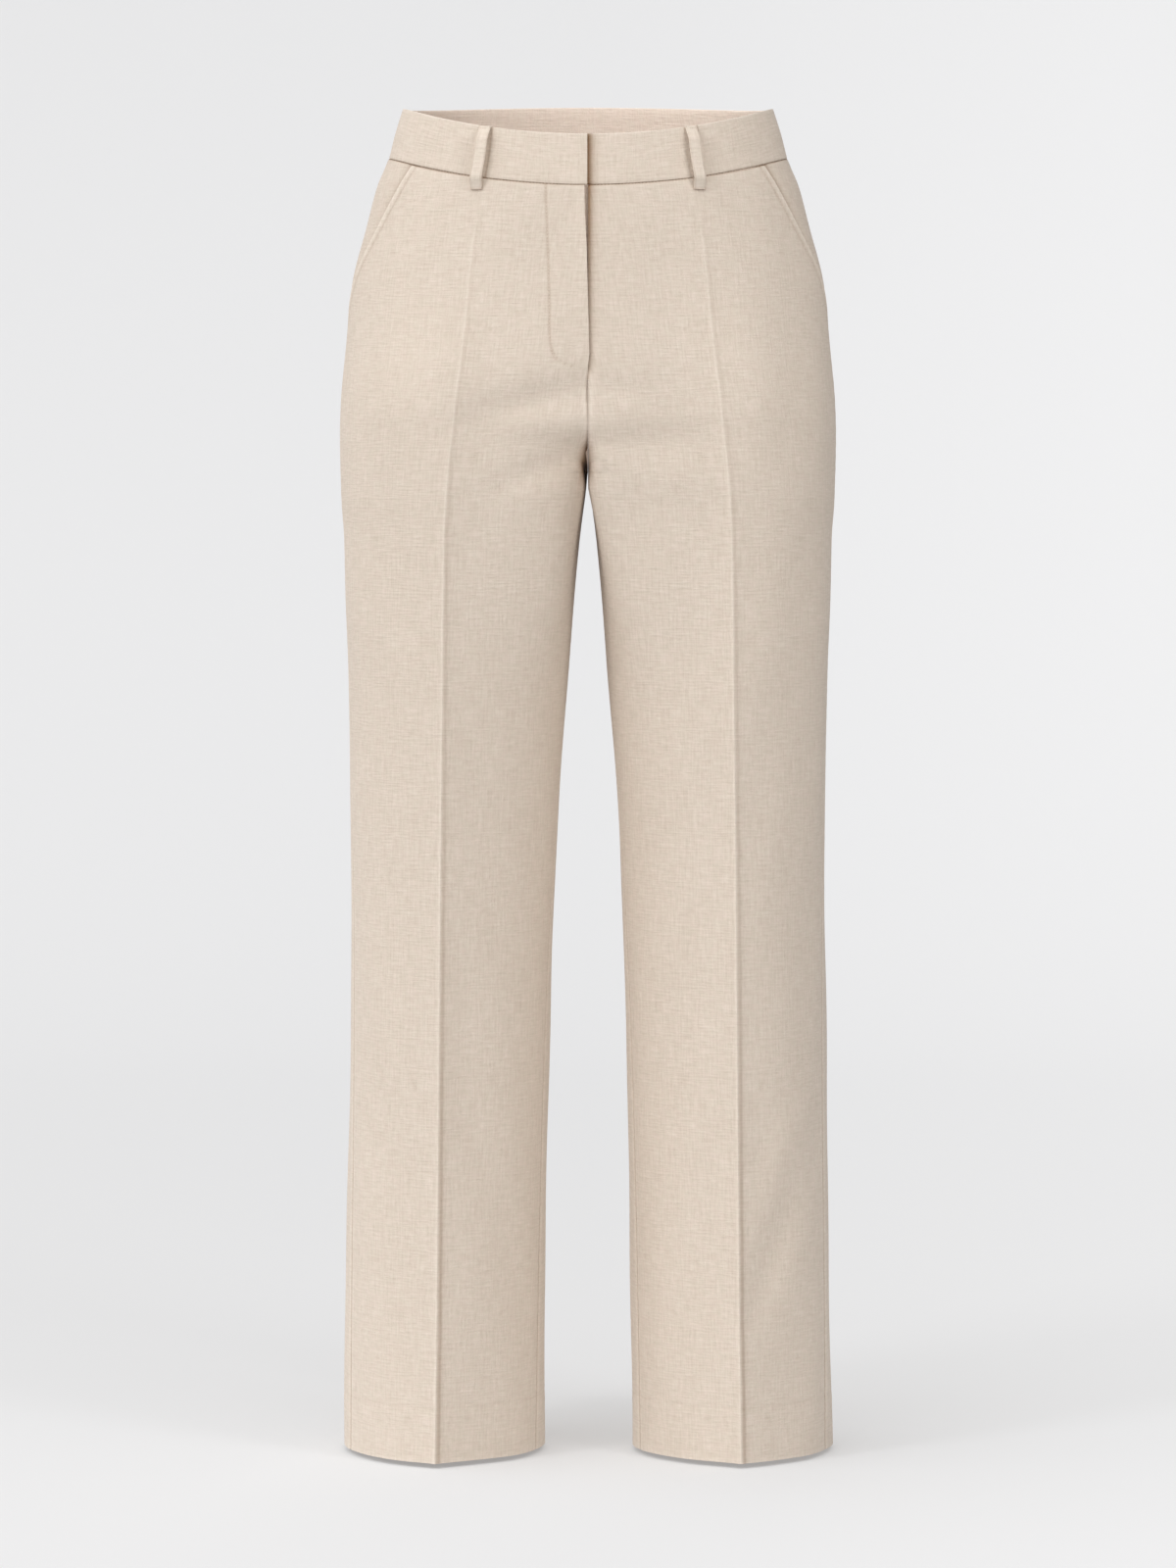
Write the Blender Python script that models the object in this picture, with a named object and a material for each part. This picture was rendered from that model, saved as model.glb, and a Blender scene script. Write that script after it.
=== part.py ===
"""Tailored straight-leg trousers with pressed creases, filled out as if worn, with no wearer.

Metres, +Z up. The front faces -Y, so the wearer's left is at +X. The origin is the centre of the
waist opening, level with the top of the waistband at the side seams. Lengths below are millimetres.

The cloth is worked out from horizontal sections. A run is one half of a section: from the side seam
round the front, or round the back, to the centre seam above the crotch or the inseam below it.
Every piece is a patch of such runs between two heights, thickened inwards.
"""

import functools
import math

import bmesh
import bpy
import numpy as np

# --- driving dimensions, millimetres ---
HEM_DROP = 1045.0
CROTCH_DROP = 281.0
BAND_HEIGHT = 39.0
FRONT_DIP = 23.0
BACK_RISE = 6.0

CLOTH = 1.2
BAND_CLOTH = 2.4
SEAM_GAP = 0.3
HALF_GAP = SEAM_GAP / 2
HEM_TURN_UP = 38.0

POCKET_TOP_DROP = 41.0
POCKET_END_DROP = 173.0

FLY_END_DROP = 202.0
FLY_ROWS = (FLY_END_DROP - 13.0, FLY_END_DROP - 2.0, FLY_END_DROP + 9.0)
FLY_OVERHANG = 1.5
FLY_LIFT = 0.9
FLY_SINK = FLY_LIFT - CLOTH - SEAM_GAP
LAP_WIDTH = 14.0
SHIELD_LEFT, SHIELD_RIGHT = 9.0, 30.0
SHIELD_SINK = FLY_SINK - CLOTH - SEAM_GAP

BAND_STEP = 0.4
BAND_OVERHANG = 0.6
BAND_LIFT = 1.0
BAND_LAP_WIDTH = 26.0
BAND_UNDERLAP = 22.0

LOOP_WIDTH = 9.5
LOOP_CLOTH = 1.8
LOOP_GAP = 4.8
LOOP_BEND = 0.22  # share of its length in which a loop bows out to its gap
LOOP_BELOW_SEAM = 9.5
# Share of the way from the side seam to the centre, by name.
BELT_LOOPS = (
    ("belt_loop_front_left", "front", +1, 0.60),
    ("belt_loop_front_right", "front", -1, 0.60),
    ("belt_loop_back_left", "back", +1, 0.40),
    ("belt_loop_back_right", "back", -1, 0.40),
    ("belt_loop_back_centre", "back", +1, 1.0),
)

# Horizontal sections from the top of the waistband to the hem.
# drop: below the origin; side and gap: how far the outer and the inner side of a leg stand from the
# centre; crease: the pressed line from the centre; front and back: the depth each way; seam: how far
# the side seam and the inseam lie in front of mid depth; point: the slope of each side of a crease;
# turn: how far the seam is turned from the leg's widest line. The last two are degrees.
SECTION_COLUMNS = ("drop", "side", "gap", "crease", "front", "back", "seam", "point", "turn")
SECTIONS = (
    (0, 144.1, 0.0, 72.0, 96.0, 104.0, 0, 0, 0),
    (20, 150.4, 0.0, 75.0, 98.0, 106.5, 0, 0, 0),
    (40, 155.6, 0.0, 78.0, 100.0, 109.5, 0, 0, 0),
    (60, 163.8, 0.0, 82.0, 102.0, 113.0, 0, 0, 0),
    (90, 171.8, 0.0, 86.0, 104.0, 118.0, 0, 0, 0),
    (137, 183.7, 0.0, 91.0, 106.0, 124.0, 0, 0, 0),
    (183, 188.3, 0.0, 95.5, 106.5, 126.0, 0, 0, 0),
    (229, 192.4, 0.0, 101.5, 105.0, 123.5, 4, 2, 0),
    (252, 193.0, 0.0, 104.0, 103.5, 120.5, 7, 4, 0),
    (281, 192.5, 0.0, 107.0, 102.0, 115.5, 10, 6, 0),
    (304, 191.8, 2.8, 108.6, 101.0, 111.5, 10, 6, 0),
    (332, 189.8, 6.2, 109.8, 100.0, 107.0, 10, 7, 0),
    (374, 189.0, 10.2, 110.7, 98.5, 101.5, 10, 8, 0),
    (436, 187.0, 15.0, 111.4, 96.0, 95.5, 12, 10, 3),
    (528, 185.6, 22.2, 112.6, 93.0, 90.5, 18, 13, 8),
    (620, 185.2, 26.6, 113.6, 91.5, 88.0, 24, 16, 13),
    (758, 187.0, 31.0, 115.0, 91.5, 87.0, 28, 18, 17),
    (927, 190.3, 33.6, 116.6, 93.5, 88.0, 31, 20, 20),
    (1045, 192.2, 34.6, 118.3, 95.0, 91.0, 32, 22, 22),
)

# Where the centre seam starts to turn under the body, and where the hip oval becomes two thighs.
CENTRE_TURN = {"front": 238.0, "back": 200.0}
OVAL_UNTIL_DROP = 120.0
THIGHS_FROM_DROP = 245.0
OVAL_HANDLE = 0.60
SEAM_HANDLE = 0.55
# How square the inner corner of the thigh is, by drop.
SQUARE_COLUMNS = ("drop", "front", "back")
THIGH_SQUARE = (
    (0, 0.80, 0.66),
    (290, 0.80, 0.66),
    (436, 0.66, 0.60),
    (620, 0.56, 0.56),
    (1045, 0.56, 0.56),
)

# The inner front corner of the thigh is tight by the crotch and opens out further down.
TIGHT_CORNER = 17.0
TIGHT_UNTIL_DROP = 480.0
BRIDGE_SOFTNESS = {"front": 10.0, "back": 44.0}

# How far the slanted pocket mouth lies from the side seam.
POCKET_COLUMNS = ("drop", "length")
POCKET_MOUTH = (
    (41, 62.5),
    (62, 56.0),
    (81, 47.5),
    (104, 36.0),
    (123, 25.0),
    (140, 15.0),
    (158, 5.6),
    (173, HALF_GAP),
)

# The largest folds: troughs (depth above 0) and ridges (below 0). side is +1 on the wearer's left;
# x and drop place the two ends, x counted from the centre.
FOLD_COLUMNS = ("side", "face", "x0", "drop0", "x1", "drop1", "half_width", "depth")
FOLDS = (
    (+1, "front", 176, 800, 127, 935, 13, 3.0),
    (+1, "front", 160, 770, 128, 868, 11, -1.6),
    (-1, "front", 2, 212, 92, 234, 12, 2.2),
    (-1, "front", 4, 252, 74, 286, 13, 1.6),
    (+1, "front", 6, 236, 66, 240, 12, 1.0),
    (-1, "front", 98, 760, 60, 905, 14, 1.6),
    (-1, "back", 40, 318, 150, 296, 15, 3.0),
    (+1, "back", 34, 326, 144, 300, 14, 2.6),
    (+1, "back", 52, 560, 150, 590, 16, 2.4),
    (-1, "back", 60, 586, 158, 556, 15, 2.6),
    (+1, "back", 140, 905, 70, 985, 14, 2.2),
    (-1, "back", 150, 930, 84, 992, 13, 2.0),
)

# How the patches are divided.
RUN_POINTS = 96
OUTER_COLUMNS, INNER_COLUMNS = 6, 9
EDGE_COLUMN = 3.0
UPPER_ROWS = 6
TURN_ROWS = 6
LEG_ROWS = 18
LEG_ROW_GROWTH = 1.7
BAND_ROWS = 3
BAND_COLUMNS = 11
LOOP_ROWS = 12

LINEN = (0.68, 0.58, 0.48)
LINEN_INSIDE = (0.63, 0.53, 0.43)


# --- tables and curves ---
def smooth_step(start, end, value):
    share = min(max((value - start) / (end - start), 0.0), 1.0)
    return share * share * (3.0 - 2.0 * share)


def read_table(rows, column, drop):
    """A smooth curve through one column of a table, with no overshoot, read at a drop."""
    xs = np.array([row[0] for row in rows], float)
    ys = np.array([row[column] for row in rows], float)
    rises = np.diff(ys) / np.diff(xs)
    inner = [2 * a * b / (a + b) if a * b > 0 else 0.0 for a, b in zip(rises[:-1], rises[1:])]
    slopes = [rises[0], *inner, rises[-1]]
    k = int(np.clip(np.searchsorted(xs, drop) - 1, 0, len(xs) - 2))
    width = xs[k + 1] - xs[k]
    t = min(max((drop - xs[k]) / width, 0.0), 1.0)
    near = (1 + 2 * t) * ys[k] + t * width * slopes[k]
    far = (3 - 2 * t) * ys[k + 1] + (t - 1) * width * slopes[k + 1]
    return float((1 - t) ** 2 * near + t * t * far)


def arc(start, leaving, end, arriving, count):
    """A cubic arc between two points, with its handles given along the direction of travel."""
    t = np.linspace(0.0, 1.0, count)[:, None]
    start, end = np.array(start, float), np.array(end, float)
    near, far = start + np.array(leaving), end - np.array(arriving)
    return (1 - t) ** 3 * start + 3 * (1 - t) ** 2 * t * near + 3 * (1 - t) * t**2 * far + t**3 * end


def lengths_along(points):
    return np.concatenate([[0.0], np.cumsum(np.linalg.norm(np.diff(points, axis=0), axis=1))])


def at_length(points, wanted):
    along = lengths_along(points)
    return np.stack([np.interp(wanted, along, points[:, k]) for k in (0, 1)], axis=-1)


def evenly(points):
    return at_length(points, np.linspace(0.0, lengths_along(points)[-1], RUN_POINTS))


# --- sections ---
def section(drop):
    """The section's named sizes at a drop, with its angles in radians."""
    sizes = {name: read_table(SECTIONS, k, drop) for k, name in enumerate(SECTION_COLUMNS) if k}
    if drop <= CROTCH_DROP:
        sizes["gap"] = 0.0
    sizes["point"] = math.radians(sizes["point"])
    sizes["turn"] = math.radians(sizes["turn"])
    return sizes


def oval_halves(sizes, face):
    """The hip oval of one face: side seam to crease, and crease to centre."""
    way = -1.0 if face == "front" else 1.0
    depth = way * sizes[face]
    side = (sizes["side"], -sizes["seam"])
    leaving = (0.0, OVAL_HANDLE * (depth + sizes["seam"]))
    arriving = (-OVAL_HANDLE * sizes["side"], 0.0)
    points = arc(side, leaving, (0.0, depth), arriving, 4 * RUN_POINTS)
    cut = int(np.argmin(np.abs(points[:, 0] - sizes["crease"])))
    return points[: cut + 1], points[cut:]


def centre_depth(sizes, face, drop):
    """The y of the centre seam at a drop: on the oval, then along a quarter ellipse to the crotch."""
    depth = -sizes["front"] if face == "front" else sizes["back"]
    crotch = -read_table(SECTIONS, SECTION_COLUMNS.index("seam"), CROTCH_DROP)
    share = (drop - CENTRE_TURN[face]) / (CROTCH_DROP - CENTRE_TURN[face])
    share = min(max(share, 0.0), 1.0)
    return depth + (crotch - depth) * (1.0 - math.sqrt(1.0 - share * share))


def tight_corner(crease, inner, point):
    """From a front crease straight to a tight corner by the inseam, and back along the inner side."""
    corner = np.array((inner[0], crease[1] + (crease[0] - inner[0]) * math.tan(point)))
    before = corner + TIGHT_CORNER * np.array((math.cos(point), -math.sin(point)))
    after = corner + (0.0, TIGHT_CORNER)
    t = np.linspace(0.0, 1.0, 24)[:, None]
    bend = (1 - t) ** 2 * before + 2 * t * (1 - t) * corner + t * t * after
    return np.concatenate([[crease], bend, [inner]])


def bridge_thighs(inside, depth, way, softness):
    """Above the crotch the cloth bridges the two thighs at the depth of the centre seam."""
    out, level = way * inside[:, 1], way * depth
    share = np.linspace(0.0, 1.0, len(inside))
    near = np.maximum(softness - np.abs(out - level), 0.0) / softness
    bridged = np.maximum(out, level) + share * (1.0 - share) * near * near * softness
    return np.stack([inside[:, 0], way * bridged], axis=-1)


def leg_halves(sizes, face, drop):
    """One face of a thigh or leg: side seam to crease, and crease to centre seam or inseam."""
    way = -1.0 if face == "front" else 1.0
    cos_point, sin_point = math.cos(sizes["point"]), way * math.sin(sizes["point"])
    cos_turn, sin_turn = way * math.cos(sizes["turn"]), way * math.sin(sizes["turn"])
    inset = 0.5 * sizes["seam"] * math.tan(sizes["turn"])
    side = np.array((sizes["side"] - inset, -sizes["seam"]))
    crease = np.array((sizes["crease"], way * sizes[face]))
    inner = np.array((sizes["gap"] + inset, -sizes["seam"]))
    square = read_table(THIGH_SQUARE, SQUARE_COLUMNS.index(face), drop)
    outer_width, inner_width = side[0] - crease[0], crease[0] - inner[0]
    outer_depth, inner_depth = abs(crease[1] - side[1]), abs(crease[1] - inner[1])
    outer = arc(
        side,
        SEAM_HANDLE * outer_depth * np.array((sin_turn, cos_turn)),
        crease,
        SEAM_HANDLE * outer_width * np.array((-cos_point, sin_point)),
        2 * RUN_POINTS,
    )
    inside = arc(
        crease,
        square * inner_width * np.array((-cos_point, -sin_point)),
        inner,
        SEAM_HANDLE * inner_depth * np.array((sin_turn, -cos_turn)),
        2 * RUN_POINTS,
    )
    inside = evenly(inside)
    if face == "front":
        tight = 1.0 - smooth_step(CROTCH_DROP, TIGHT_UNTIL_DROP, drop)
        inside = tight * evenly(tight_corner(crease, inner, sizes["point"])) + (1.0 - tight) * inside
    if drop < CROTCH_DROP:
        inside = bridge_thighs(inside, centre_depth(sizes, face, drop), way, BRIDGE_SOFTNESS[face])
    return outer, inside


def fit_width(points, crease, wanted, found):
    """Stretches a half run across, so that it reaches as far from the crease as the section says."""
    return (points - (crease, 0.0)) * ((wanted - crease) / (found - crease), 1.0) + (crease, 0.0)


@functools.lru_cache(maxsize=None)
def run(face, drop):
    """A run's points, its length as far as the crease, and its length as far as the centre.

    It goes on past the centre as its own mirror image, for what laps over or under there."""
    sizes = section(drop)
    outer, inside = leg_halves(sizes, face, drop)
    if drop > CROTCH_DROP:
        behind = leg_halves(sizes, "back", drop)
        outer = fit_width(outer, sizes["crease"], sizes["side"], behind[0][:, 0].max())
        inside = fit_width(inside, sizes["crease"], sizes["gap"], behind[1][:, 0].min())
    outer, inside = evenly(outer), evenly(inside)
    thigh = smooth_step(OVAL_UNTIL_DROP, THIGHS_FROM_DROP, drop)
    if thigh < 1.0:
        oval_outer, oval_inside = oval_halves(sizes, face)
        outer = (1 - thigh) * evenly(oval_outer) + thigh * outer
        inside = (1 - thigh) * evenly(oval_inside) + thigh * inside
    half = np.concatenate([outer, inside[1:]])
    past = half[-2::-1] * (-1.0, 1.0)
    return np.concatenate([half, past]), lengths_along(outer)[-1], lengths_along(half)[-1]


def crease_length(face, drop):
    return run(face, round(drop, 3))[1]


def whole_length(face, drop):
    return run(face, round(drop, 3))[2]


def waist_dip(face, share):
    """How far the waistline lies below its level at the sides, at a share of the way to the centre."""
    points, _, whole = run(face, BAND_HEIGHT)
    x = at_length(points, min(share, 2.0 - share) * whole)[0]
    dip = FRONT_DIP if face == "front" else -BACK_RISE
    return dip * (1.0 - (x / points[0, 0]) ** 2)


def fold_depth(side, face, x, drop):
    """How far the folds push the cloth in at a place."""
    depth = 0.0
    for row in FOLDS:
        fold = dict(zip(FOLD_COLUMNS, row))
        if (fold["side"], fold["face"]) != (side, face):
            continue
        start = np.array((fold["x0"], fold["drop0"]), float)
        way = np.array((fold["x1"], fold["drop1"]), float) - start
        place = np.array((x, drop)) - start
        share = min(max(float(place @ way / (way @ way)), 0.0), 1.0)
        across = np.linalg.norm(place - share * way) / fold["half_width"]
        depth += fold["depth"] * math.sin(math.pi * (0.12 + 0.76 * share)) * math.exp(-across * across)
    return depth


def place(side, face, drop, length, out=0.0):
    """A point of the body: on a run at a length from its side seam, moved out from the cloth."""
    points = run(face, round(drop, 3))[0]
    x, y = at_length(points, length)
    along = at_length(points, length + 2.0) - at_length(points, max(length - 2.0, 0.0))
    along /= np.linalg.norm(along)
    way = 1.0 if face == "front" else -1.0
    out = out - fold_depth(side, face, abs(x), drop)
    x, y = x - way * along[1] * out, y + way * along[0] * out
    if drop > CENTRE_TURN[face] and length <= whole_length(face, drop):
        x = max(x, HALF_GAP)
    return (side * x, y, -drop)


# --- solids ---
def linen(name, colour):
    material = bpy.data.materials.new(name)
    material.use_nodes = True
    shader = material.node_tree.nodes["Principled BSDF"]
    shader.inputs["Base Color"].default_value = (*colour, 1.0)
    shader.inputs["Roughness"].default_value = 0.9
    shader.inputs["Metallic"].default_value = 0.0
    return material


def cloth_piece(name, grid, wall, material, facing_out, layers=None):
    """A patch of cloth, thickened inwards. grid is rows of points down the piece. layers holds each
    row's share of the wall, where a turned edge doubles it."""
    rows, columns = len(grid), len(grid[0])
    mesh = bpy.data.meshes.new(name)
    shape = bmesh.new()
    corners = [[shape.verts.new(np.array(point) * 0.001) for point in row] for row in grid]
    for j in range(rows - 1):
        for i in range(columns - 1):
            loop = [corners[j][i], corners[j][i + 1], corners[j + 1][i + 1], corners[j + 1][i]]
            shape.faces.new(loop if facing_out else loop[::-1])
    shape.verts.index_update()
    shape.to_mesh(mesh)
    shape.free()
    mesh.materials.append(material)
    mesh.shade_smooth()
    piece = bpy.data.objects.new(name, mesh)
    bpy.context.scene.collection.objects.link(piece)
    solid = piece.modifiers.new("wall", "SOLIDIFY")
    solid.thickness = 0.001 * wall
    solid.offset = -1.0
    if layers:
        group = piece.vertex_groups.new(name="layers")
        for j, share in enumerate(layers):
            group.add(list(range(j * columns, (j + 1) * columns)), share, "REPLACE")
        solid.vertex_group = group.name
    return piece


def lower_drops():
    """The rows of a leg panel below the pocket: closer together round the crotch."""
    turn = CROTCH_DROP - CENTRE_TURN["front"]
    swings = [math.sin(math.pi / 2 * k / TURN_ROWS) for k in range(1, TURN_ROWS + 1)]
    turning = [CENTRE_TURN["front"] + turn * swing for swing in swings]
    leg = HEM_DROP - HEM_TURN_UP - CROTCH_DROP
    down = [CROTCH_DROP + leg * (k / LEG_ROWS) ** LEG_ROW_GROWTH for k in range(1, LEG_ROWS + 1)]
    fly = [POCKET_END_DROP, *FLY_ROWS, 226.0, CENTRE_TURN["front"]]
    return fly + turning + down + [HEM_DROP - HEM_TURN_UP + 0.5, HEM_DROP]


def pocket_edge(drop):
    """How far the slanted pocket mouth lies from the side seam."""
    return read_table(POCKET_MOUTH, 1, drop)


def column_lengths(face, drop, start, end):
    """Lengths of a panel's columns at a drop: a narrow one by each edge, and one on the crease."""
    crease = crease_length(face, drop)
    outer = np.linspace(start + EDGE_COLUMN, crease, OUTER_COLUMNS)
    inside = np.linspace(crease, end - EDGE_COLUMN, INNER_COLUMNS)
    return np.concatenate([[start], outer, inside[1:], [end]])


def panel_places(face, start_at, end_at):
    """The drop and length of each point of a leg panel, by row and column."""
    top = BAND_HEIGHT + HALF_GAP
    waist = column_lengths(face, top, start_at(top), end_at(top)) / whole_length(face, top)
    seam = [top + waist_dip(face, share) for share in waist]
    places = []
    for k in range(UPPER_ROWS):
        drops = [down + (POCKET_END_DROP - down) * k / UPPER_ROWS for down in seam]
        rows = [column_lengths(face, drop, start_at(drop), end_at(drop)) for drop in drops]
        places.append([(drop, row[i]) for i, (drop, row) in enumerate(zip(drops, rows))])
    for drop in lower_drops():
        lengths = column_lengths(face, drop, start_at(drop), end_at(drop))
        places.append([(drop, length) for length in lengths])
    return places


def hem_layers(places):
    """Each row's share of the doubled wall: whole below the turned-up edge of the hem."""
    return [1.0 if row[0][0] > HEM_DROP - HEM_TURN_UP + 0.1 else 0.5 for row in places]


def fly_share(drop):
    """How far apart the lapped fronts lie at a drop: wholly down to the fly's end, not below it."""
    return 1.0 - smooth_step(FLY_ROWS[1], FLY_ROWS[2], drop)


def front_end(side, drop):
    """Where a front ends at the centre: the wearer's right laps over the left as far as the fly goes."""
    whole = whole_length("front", drop) - HALF_GAP
    lap = 1.0 - smooth_step(FLY_ROWS[0], FLY_ROWS[1], drop)
    return whole if side > 0 else whole + (HALF_GAP + FLY_OVERHANG) * lap


def front_out(side, drop, length):
    """How far the fly lifts the right front, or sinks the left, near the centre."""
    to_centre = whole_length("front", drop) - length
    if side > 0:
        return FLY_SINK * fly_share(drop) * (1.0 - smooth_step(0.0, 8.0, to_centre))
    return FLY_LIFT * fly_share(drop) * (1.0 - smooth_step(0.0, LAP_WIDTH, to_centre))


def make_front(name, side, material):
    places = panel_places("front", pocket_edge, lambda drop: front_end(side, drop))
    grid = [[place(side, "front", drop, s, front_out(side, drop, s)) for drop, s in row] for row in places]
    cloth_piece(name, grid, 2 * CLOTH, material, side > 0, hem_layers(places))
    return places


def make_back(name, side, material):
    places = panel_places("back", lambda drop: HALF_GAP, lambda drop: whole_length("back", drop) - HALF_GAP)
    grid = [[place(side, "back", drop, s) for drop, s in row] for row in places]
    cloth_piece(name, grid, 2 * CLOTH, material, side < 0, hem_layers(places))


def make_pocket_facing(name, side, front_places, material):
    """The hip facing: from the side seam to the pocket mouth, then on under the front's own points."""
    sink = CLOTH + SEAM_GAP
    grid = []
    for row in front_places[: UPPER_ROWS + 1]:
        drop, edge = row[0]
        down = (drop - POCKET_TOP_DROP) / (POCKET_END_DROP - POCKET_TOP_DROP)
        seam_drop = BAND_HEIGHT + HALF_GAP + (POCKET_END_DROP - BAND_HEIGHT) * max(down, 0.0)
        points = []
        for k in range(4):
            share = k / 4
            length = HALF_GAP + (edge - HALF_GAP) * share
            here = seam_drop + (drop - seam_drop) * share
            points.append((here, length, -sink * smooth_step(0.0, max(edge - 3.0, 0.01), length)))
        points += [(under, length, -sink) for under, length in row[:3]]
        grid.append([place(side, "front", *point) for point in points])
    cloth_piece(name, grid, CLOTH, material, side > 0)


def make_fly_shield(name, material):
    """The strip behind the fly that the left front carries, seen only at the fly's edge."""
    grid = []
    for k in range(9):
        share = k / 8
        row = []
        for across in np.linspace(-SHIELD_LEFT, SHIELD_RIGHT, 6):
            top = BAND_HEIGHT + SEAM_GAP + waist_dip("front", 1.0)
            drop = top + (FLY_END_DROP + 8.0 - top) * share
            row.append(place(-1, "front", drop, whole_length("front", drop) - across, SHIELD_SINK))
        grid.append(row)
    cloth_piece(name, grid, CLOTH, material, True)


def band_drop(face, share, down):
    """A drop on the waistband: down is 0 at its top edge and 1 at the waist seam."""
    return waist_dip(face, share) + down * (BAND_HEIGHT - HALF_GAP)


def band_front_out(side, to_centre):
    """How far the waistband stands out near the centre. Right laps over left, which goes on under."""
    lift = BAND_LIFT * (1.0 - smooth_step(0.0, BAND_LAP_WIDTH, abs(to_centre)))
    if side < 0:
        return lift - BAND_STEP
    under = lift - BAND_CLOTH - SEAM_GAP
    return under * (1.0 - smooth_step(1.5, 14.0, to_centre)) - BAND_STEP


def band_grid(side, face, lengths_at, out_at):
    """Rows of a waistband piece. lengths_at gives its columns for a run's whole length."""
    grid = []
    for k in range(BAND_ROWS + 1):
        row = []
        for i in range(len(lengths_at(100.0))):
            share = lengths_at(whole_length(face, BAND_HEIGHT))[i] / whole_length(face, BAND_HEIGHT)
            drop = band_drop(face, share, k / BAND_ROWS)
            whole = whole_length(face, drop)
            length = lengths_at(whole)[i]
            row.append(place(side, face, drop, length, out_at(whole - length)))
        grid.append(row)
    return grid


def make_waistband_front(name, side, material):
    near_centre = (-20.0, -12.0, -5.0, BAND_OVERHANG)
    if side > 0:
        near_centre = (-14.0, -7.0, -1.5, 8.0, BAND_UNDERLAP)

    def lengths_at(whole):
        plain = np.linspace(HALF_GAP + EDGE_COLUMN, whole - BAND_LAP_WIDTH, BAND_COLUMNS)
        return [HALF_GAP, *plain, *(whole + past for past in near_centre)]

    grid = band_grid(side, "front", lengths_at, lambda to_centre: band_front_out(side, to_centre))
    cloth_piece(name, grid, BAND_CLOTH, material, side > 0)


def make_waistband_back(name, material):
    def lengths_at(whole):
        plain = np.linspace(HALF_GAP + EDGE_COLUMN, whole, BAND_COLUMNS)
        half = [HALF_GAP, *plain]
        return half + [2 * whole - length for length in half[-2::-1]]

    grid = band_grid(+1, "back", lengths_at, lambda to_centre: -BAND_STEP)
    cloth_piece(name, grid, BAND_CLOTH, material, False)


def make_belt_loop(name, face, side, share, material):
    """A folded strip sewn down at the waistband's top edge and just below the waist seam."""
    grid = []
    for k in range(LOOP_ROWS + 1):
        down = k / LOOP_ROWS
        drop = waist_dip(face, share) + down * (BAND_HEIGHT + LOOP_BELOW_SEAM)
        seat = (1.0 - down) * (SEAM_GAP - BAND_STEP) + down * SEAM_GAP
        bow = LOOP_GAP * smooth_step(0.0, LOOP_BEND, min(down, 1.0 - down))
        middle = share * whole_length(face, drop)
        across = np.linspace(middle - LOOP_WIDTH / 2, middle + LOOP_WIDTH / 2, 3)
        grid.append([place(side, face, drop, length, seat + bow + LOOP_CLOTH) for length in across])
    cloth_piece(name, grid, LOOP_CLOTH, material, (side > 0) == (face == "front"))


def main():
    for old in list(bpy.data.objects):
        bpy.data.objects.remove(old, do_unlink=True)
    outside = linen("linen_cloth", LINEN)
    inside = linen("linen_cloth_inside", LINEN_INSIDE)
    for name, side in (("left", +1), ("right", -1)):
        places = make_front(f"front_{name}", side, outside)
        make_back(f"back_{name}", side, outside)
        make_pocket_facing(f"pocket_facing_{name}", side, places, outside)
        make_waistband_front(f"waistband_front_{name}", side, outside)
    make_waistband_back("waistband_back", outside)
    make_fly_shield("fly_shield", inside)
    for name, face, side, share in BELT_LOOPS:
        make_belt_loop(name, face, side, share, outside)


main()
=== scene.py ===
"""Tailored straight-leg trousers of beige plain-woven linen, filled out with no wearer, on a pale floor.

Lengths are millimetres until a mesh is made, then metres. The front faces -Y, the wearer's left is at +X,
and the origin is the centre of the waist opening. drop is how far a point lies below the origin, and
length how far it lies from the side seam along the cloth, measured level round the front or the back.
"""

import math
import random

import bpy
import numpy as np
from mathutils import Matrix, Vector

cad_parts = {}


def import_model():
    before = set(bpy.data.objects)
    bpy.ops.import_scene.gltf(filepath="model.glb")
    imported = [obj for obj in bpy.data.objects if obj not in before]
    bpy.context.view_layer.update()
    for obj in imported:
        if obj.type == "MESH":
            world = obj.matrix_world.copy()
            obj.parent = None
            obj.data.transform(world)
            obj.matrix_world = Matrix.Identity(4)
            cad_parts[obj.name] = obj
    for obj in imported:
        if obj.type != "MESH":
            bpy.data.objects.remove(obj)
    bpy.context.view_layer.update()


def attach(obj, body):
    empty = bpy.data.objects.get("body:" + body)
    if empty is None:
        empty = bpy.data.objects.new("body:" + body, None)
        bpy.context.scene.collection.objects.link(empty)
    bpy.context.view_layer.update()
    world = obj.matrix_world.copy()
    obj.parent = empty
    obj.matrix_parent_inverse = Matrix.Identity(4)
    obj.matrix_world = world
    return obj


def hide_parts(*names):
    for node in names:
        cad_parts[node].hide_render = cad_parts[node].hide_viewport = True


MM = 0.001

# --- the cut ---
HEM_DROP = 1045.0
CROTCH_DROP = 281.0
BAND_HEIGHT = 39.0
FRONT_DIP = 23.0
BACK_RISE = 6.0
HEM_TURN_UP = 38.0

CLOTH = 1.0
BAND_CLOTH = 2.2
LAYER_STEP = 1.5
SEAM_EDGE = 0.06

POCKET_TOP_WIDTH = 62.5
POCKET_TOP_DROP = 41.0
POCKET_END_DROP = 173.0
POCKET_DEPTH = POCKET_END_DROP - BAND_HEIGHT
POCKET_GAPE = 1.2
POCKET_TOPSTITCH = 6.2
FACING_UNDER = 8.0
HEM_FOLD_DROP = HEM_DROP - HEM_TURN_UP
HEM_PICKS_DROP = HEM_FOLD_DROP - 3.6

DART_FROM_CENTRE = 74.0
DART_SLANT = 5.0
DART_LENGTH = 112.0

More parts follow.
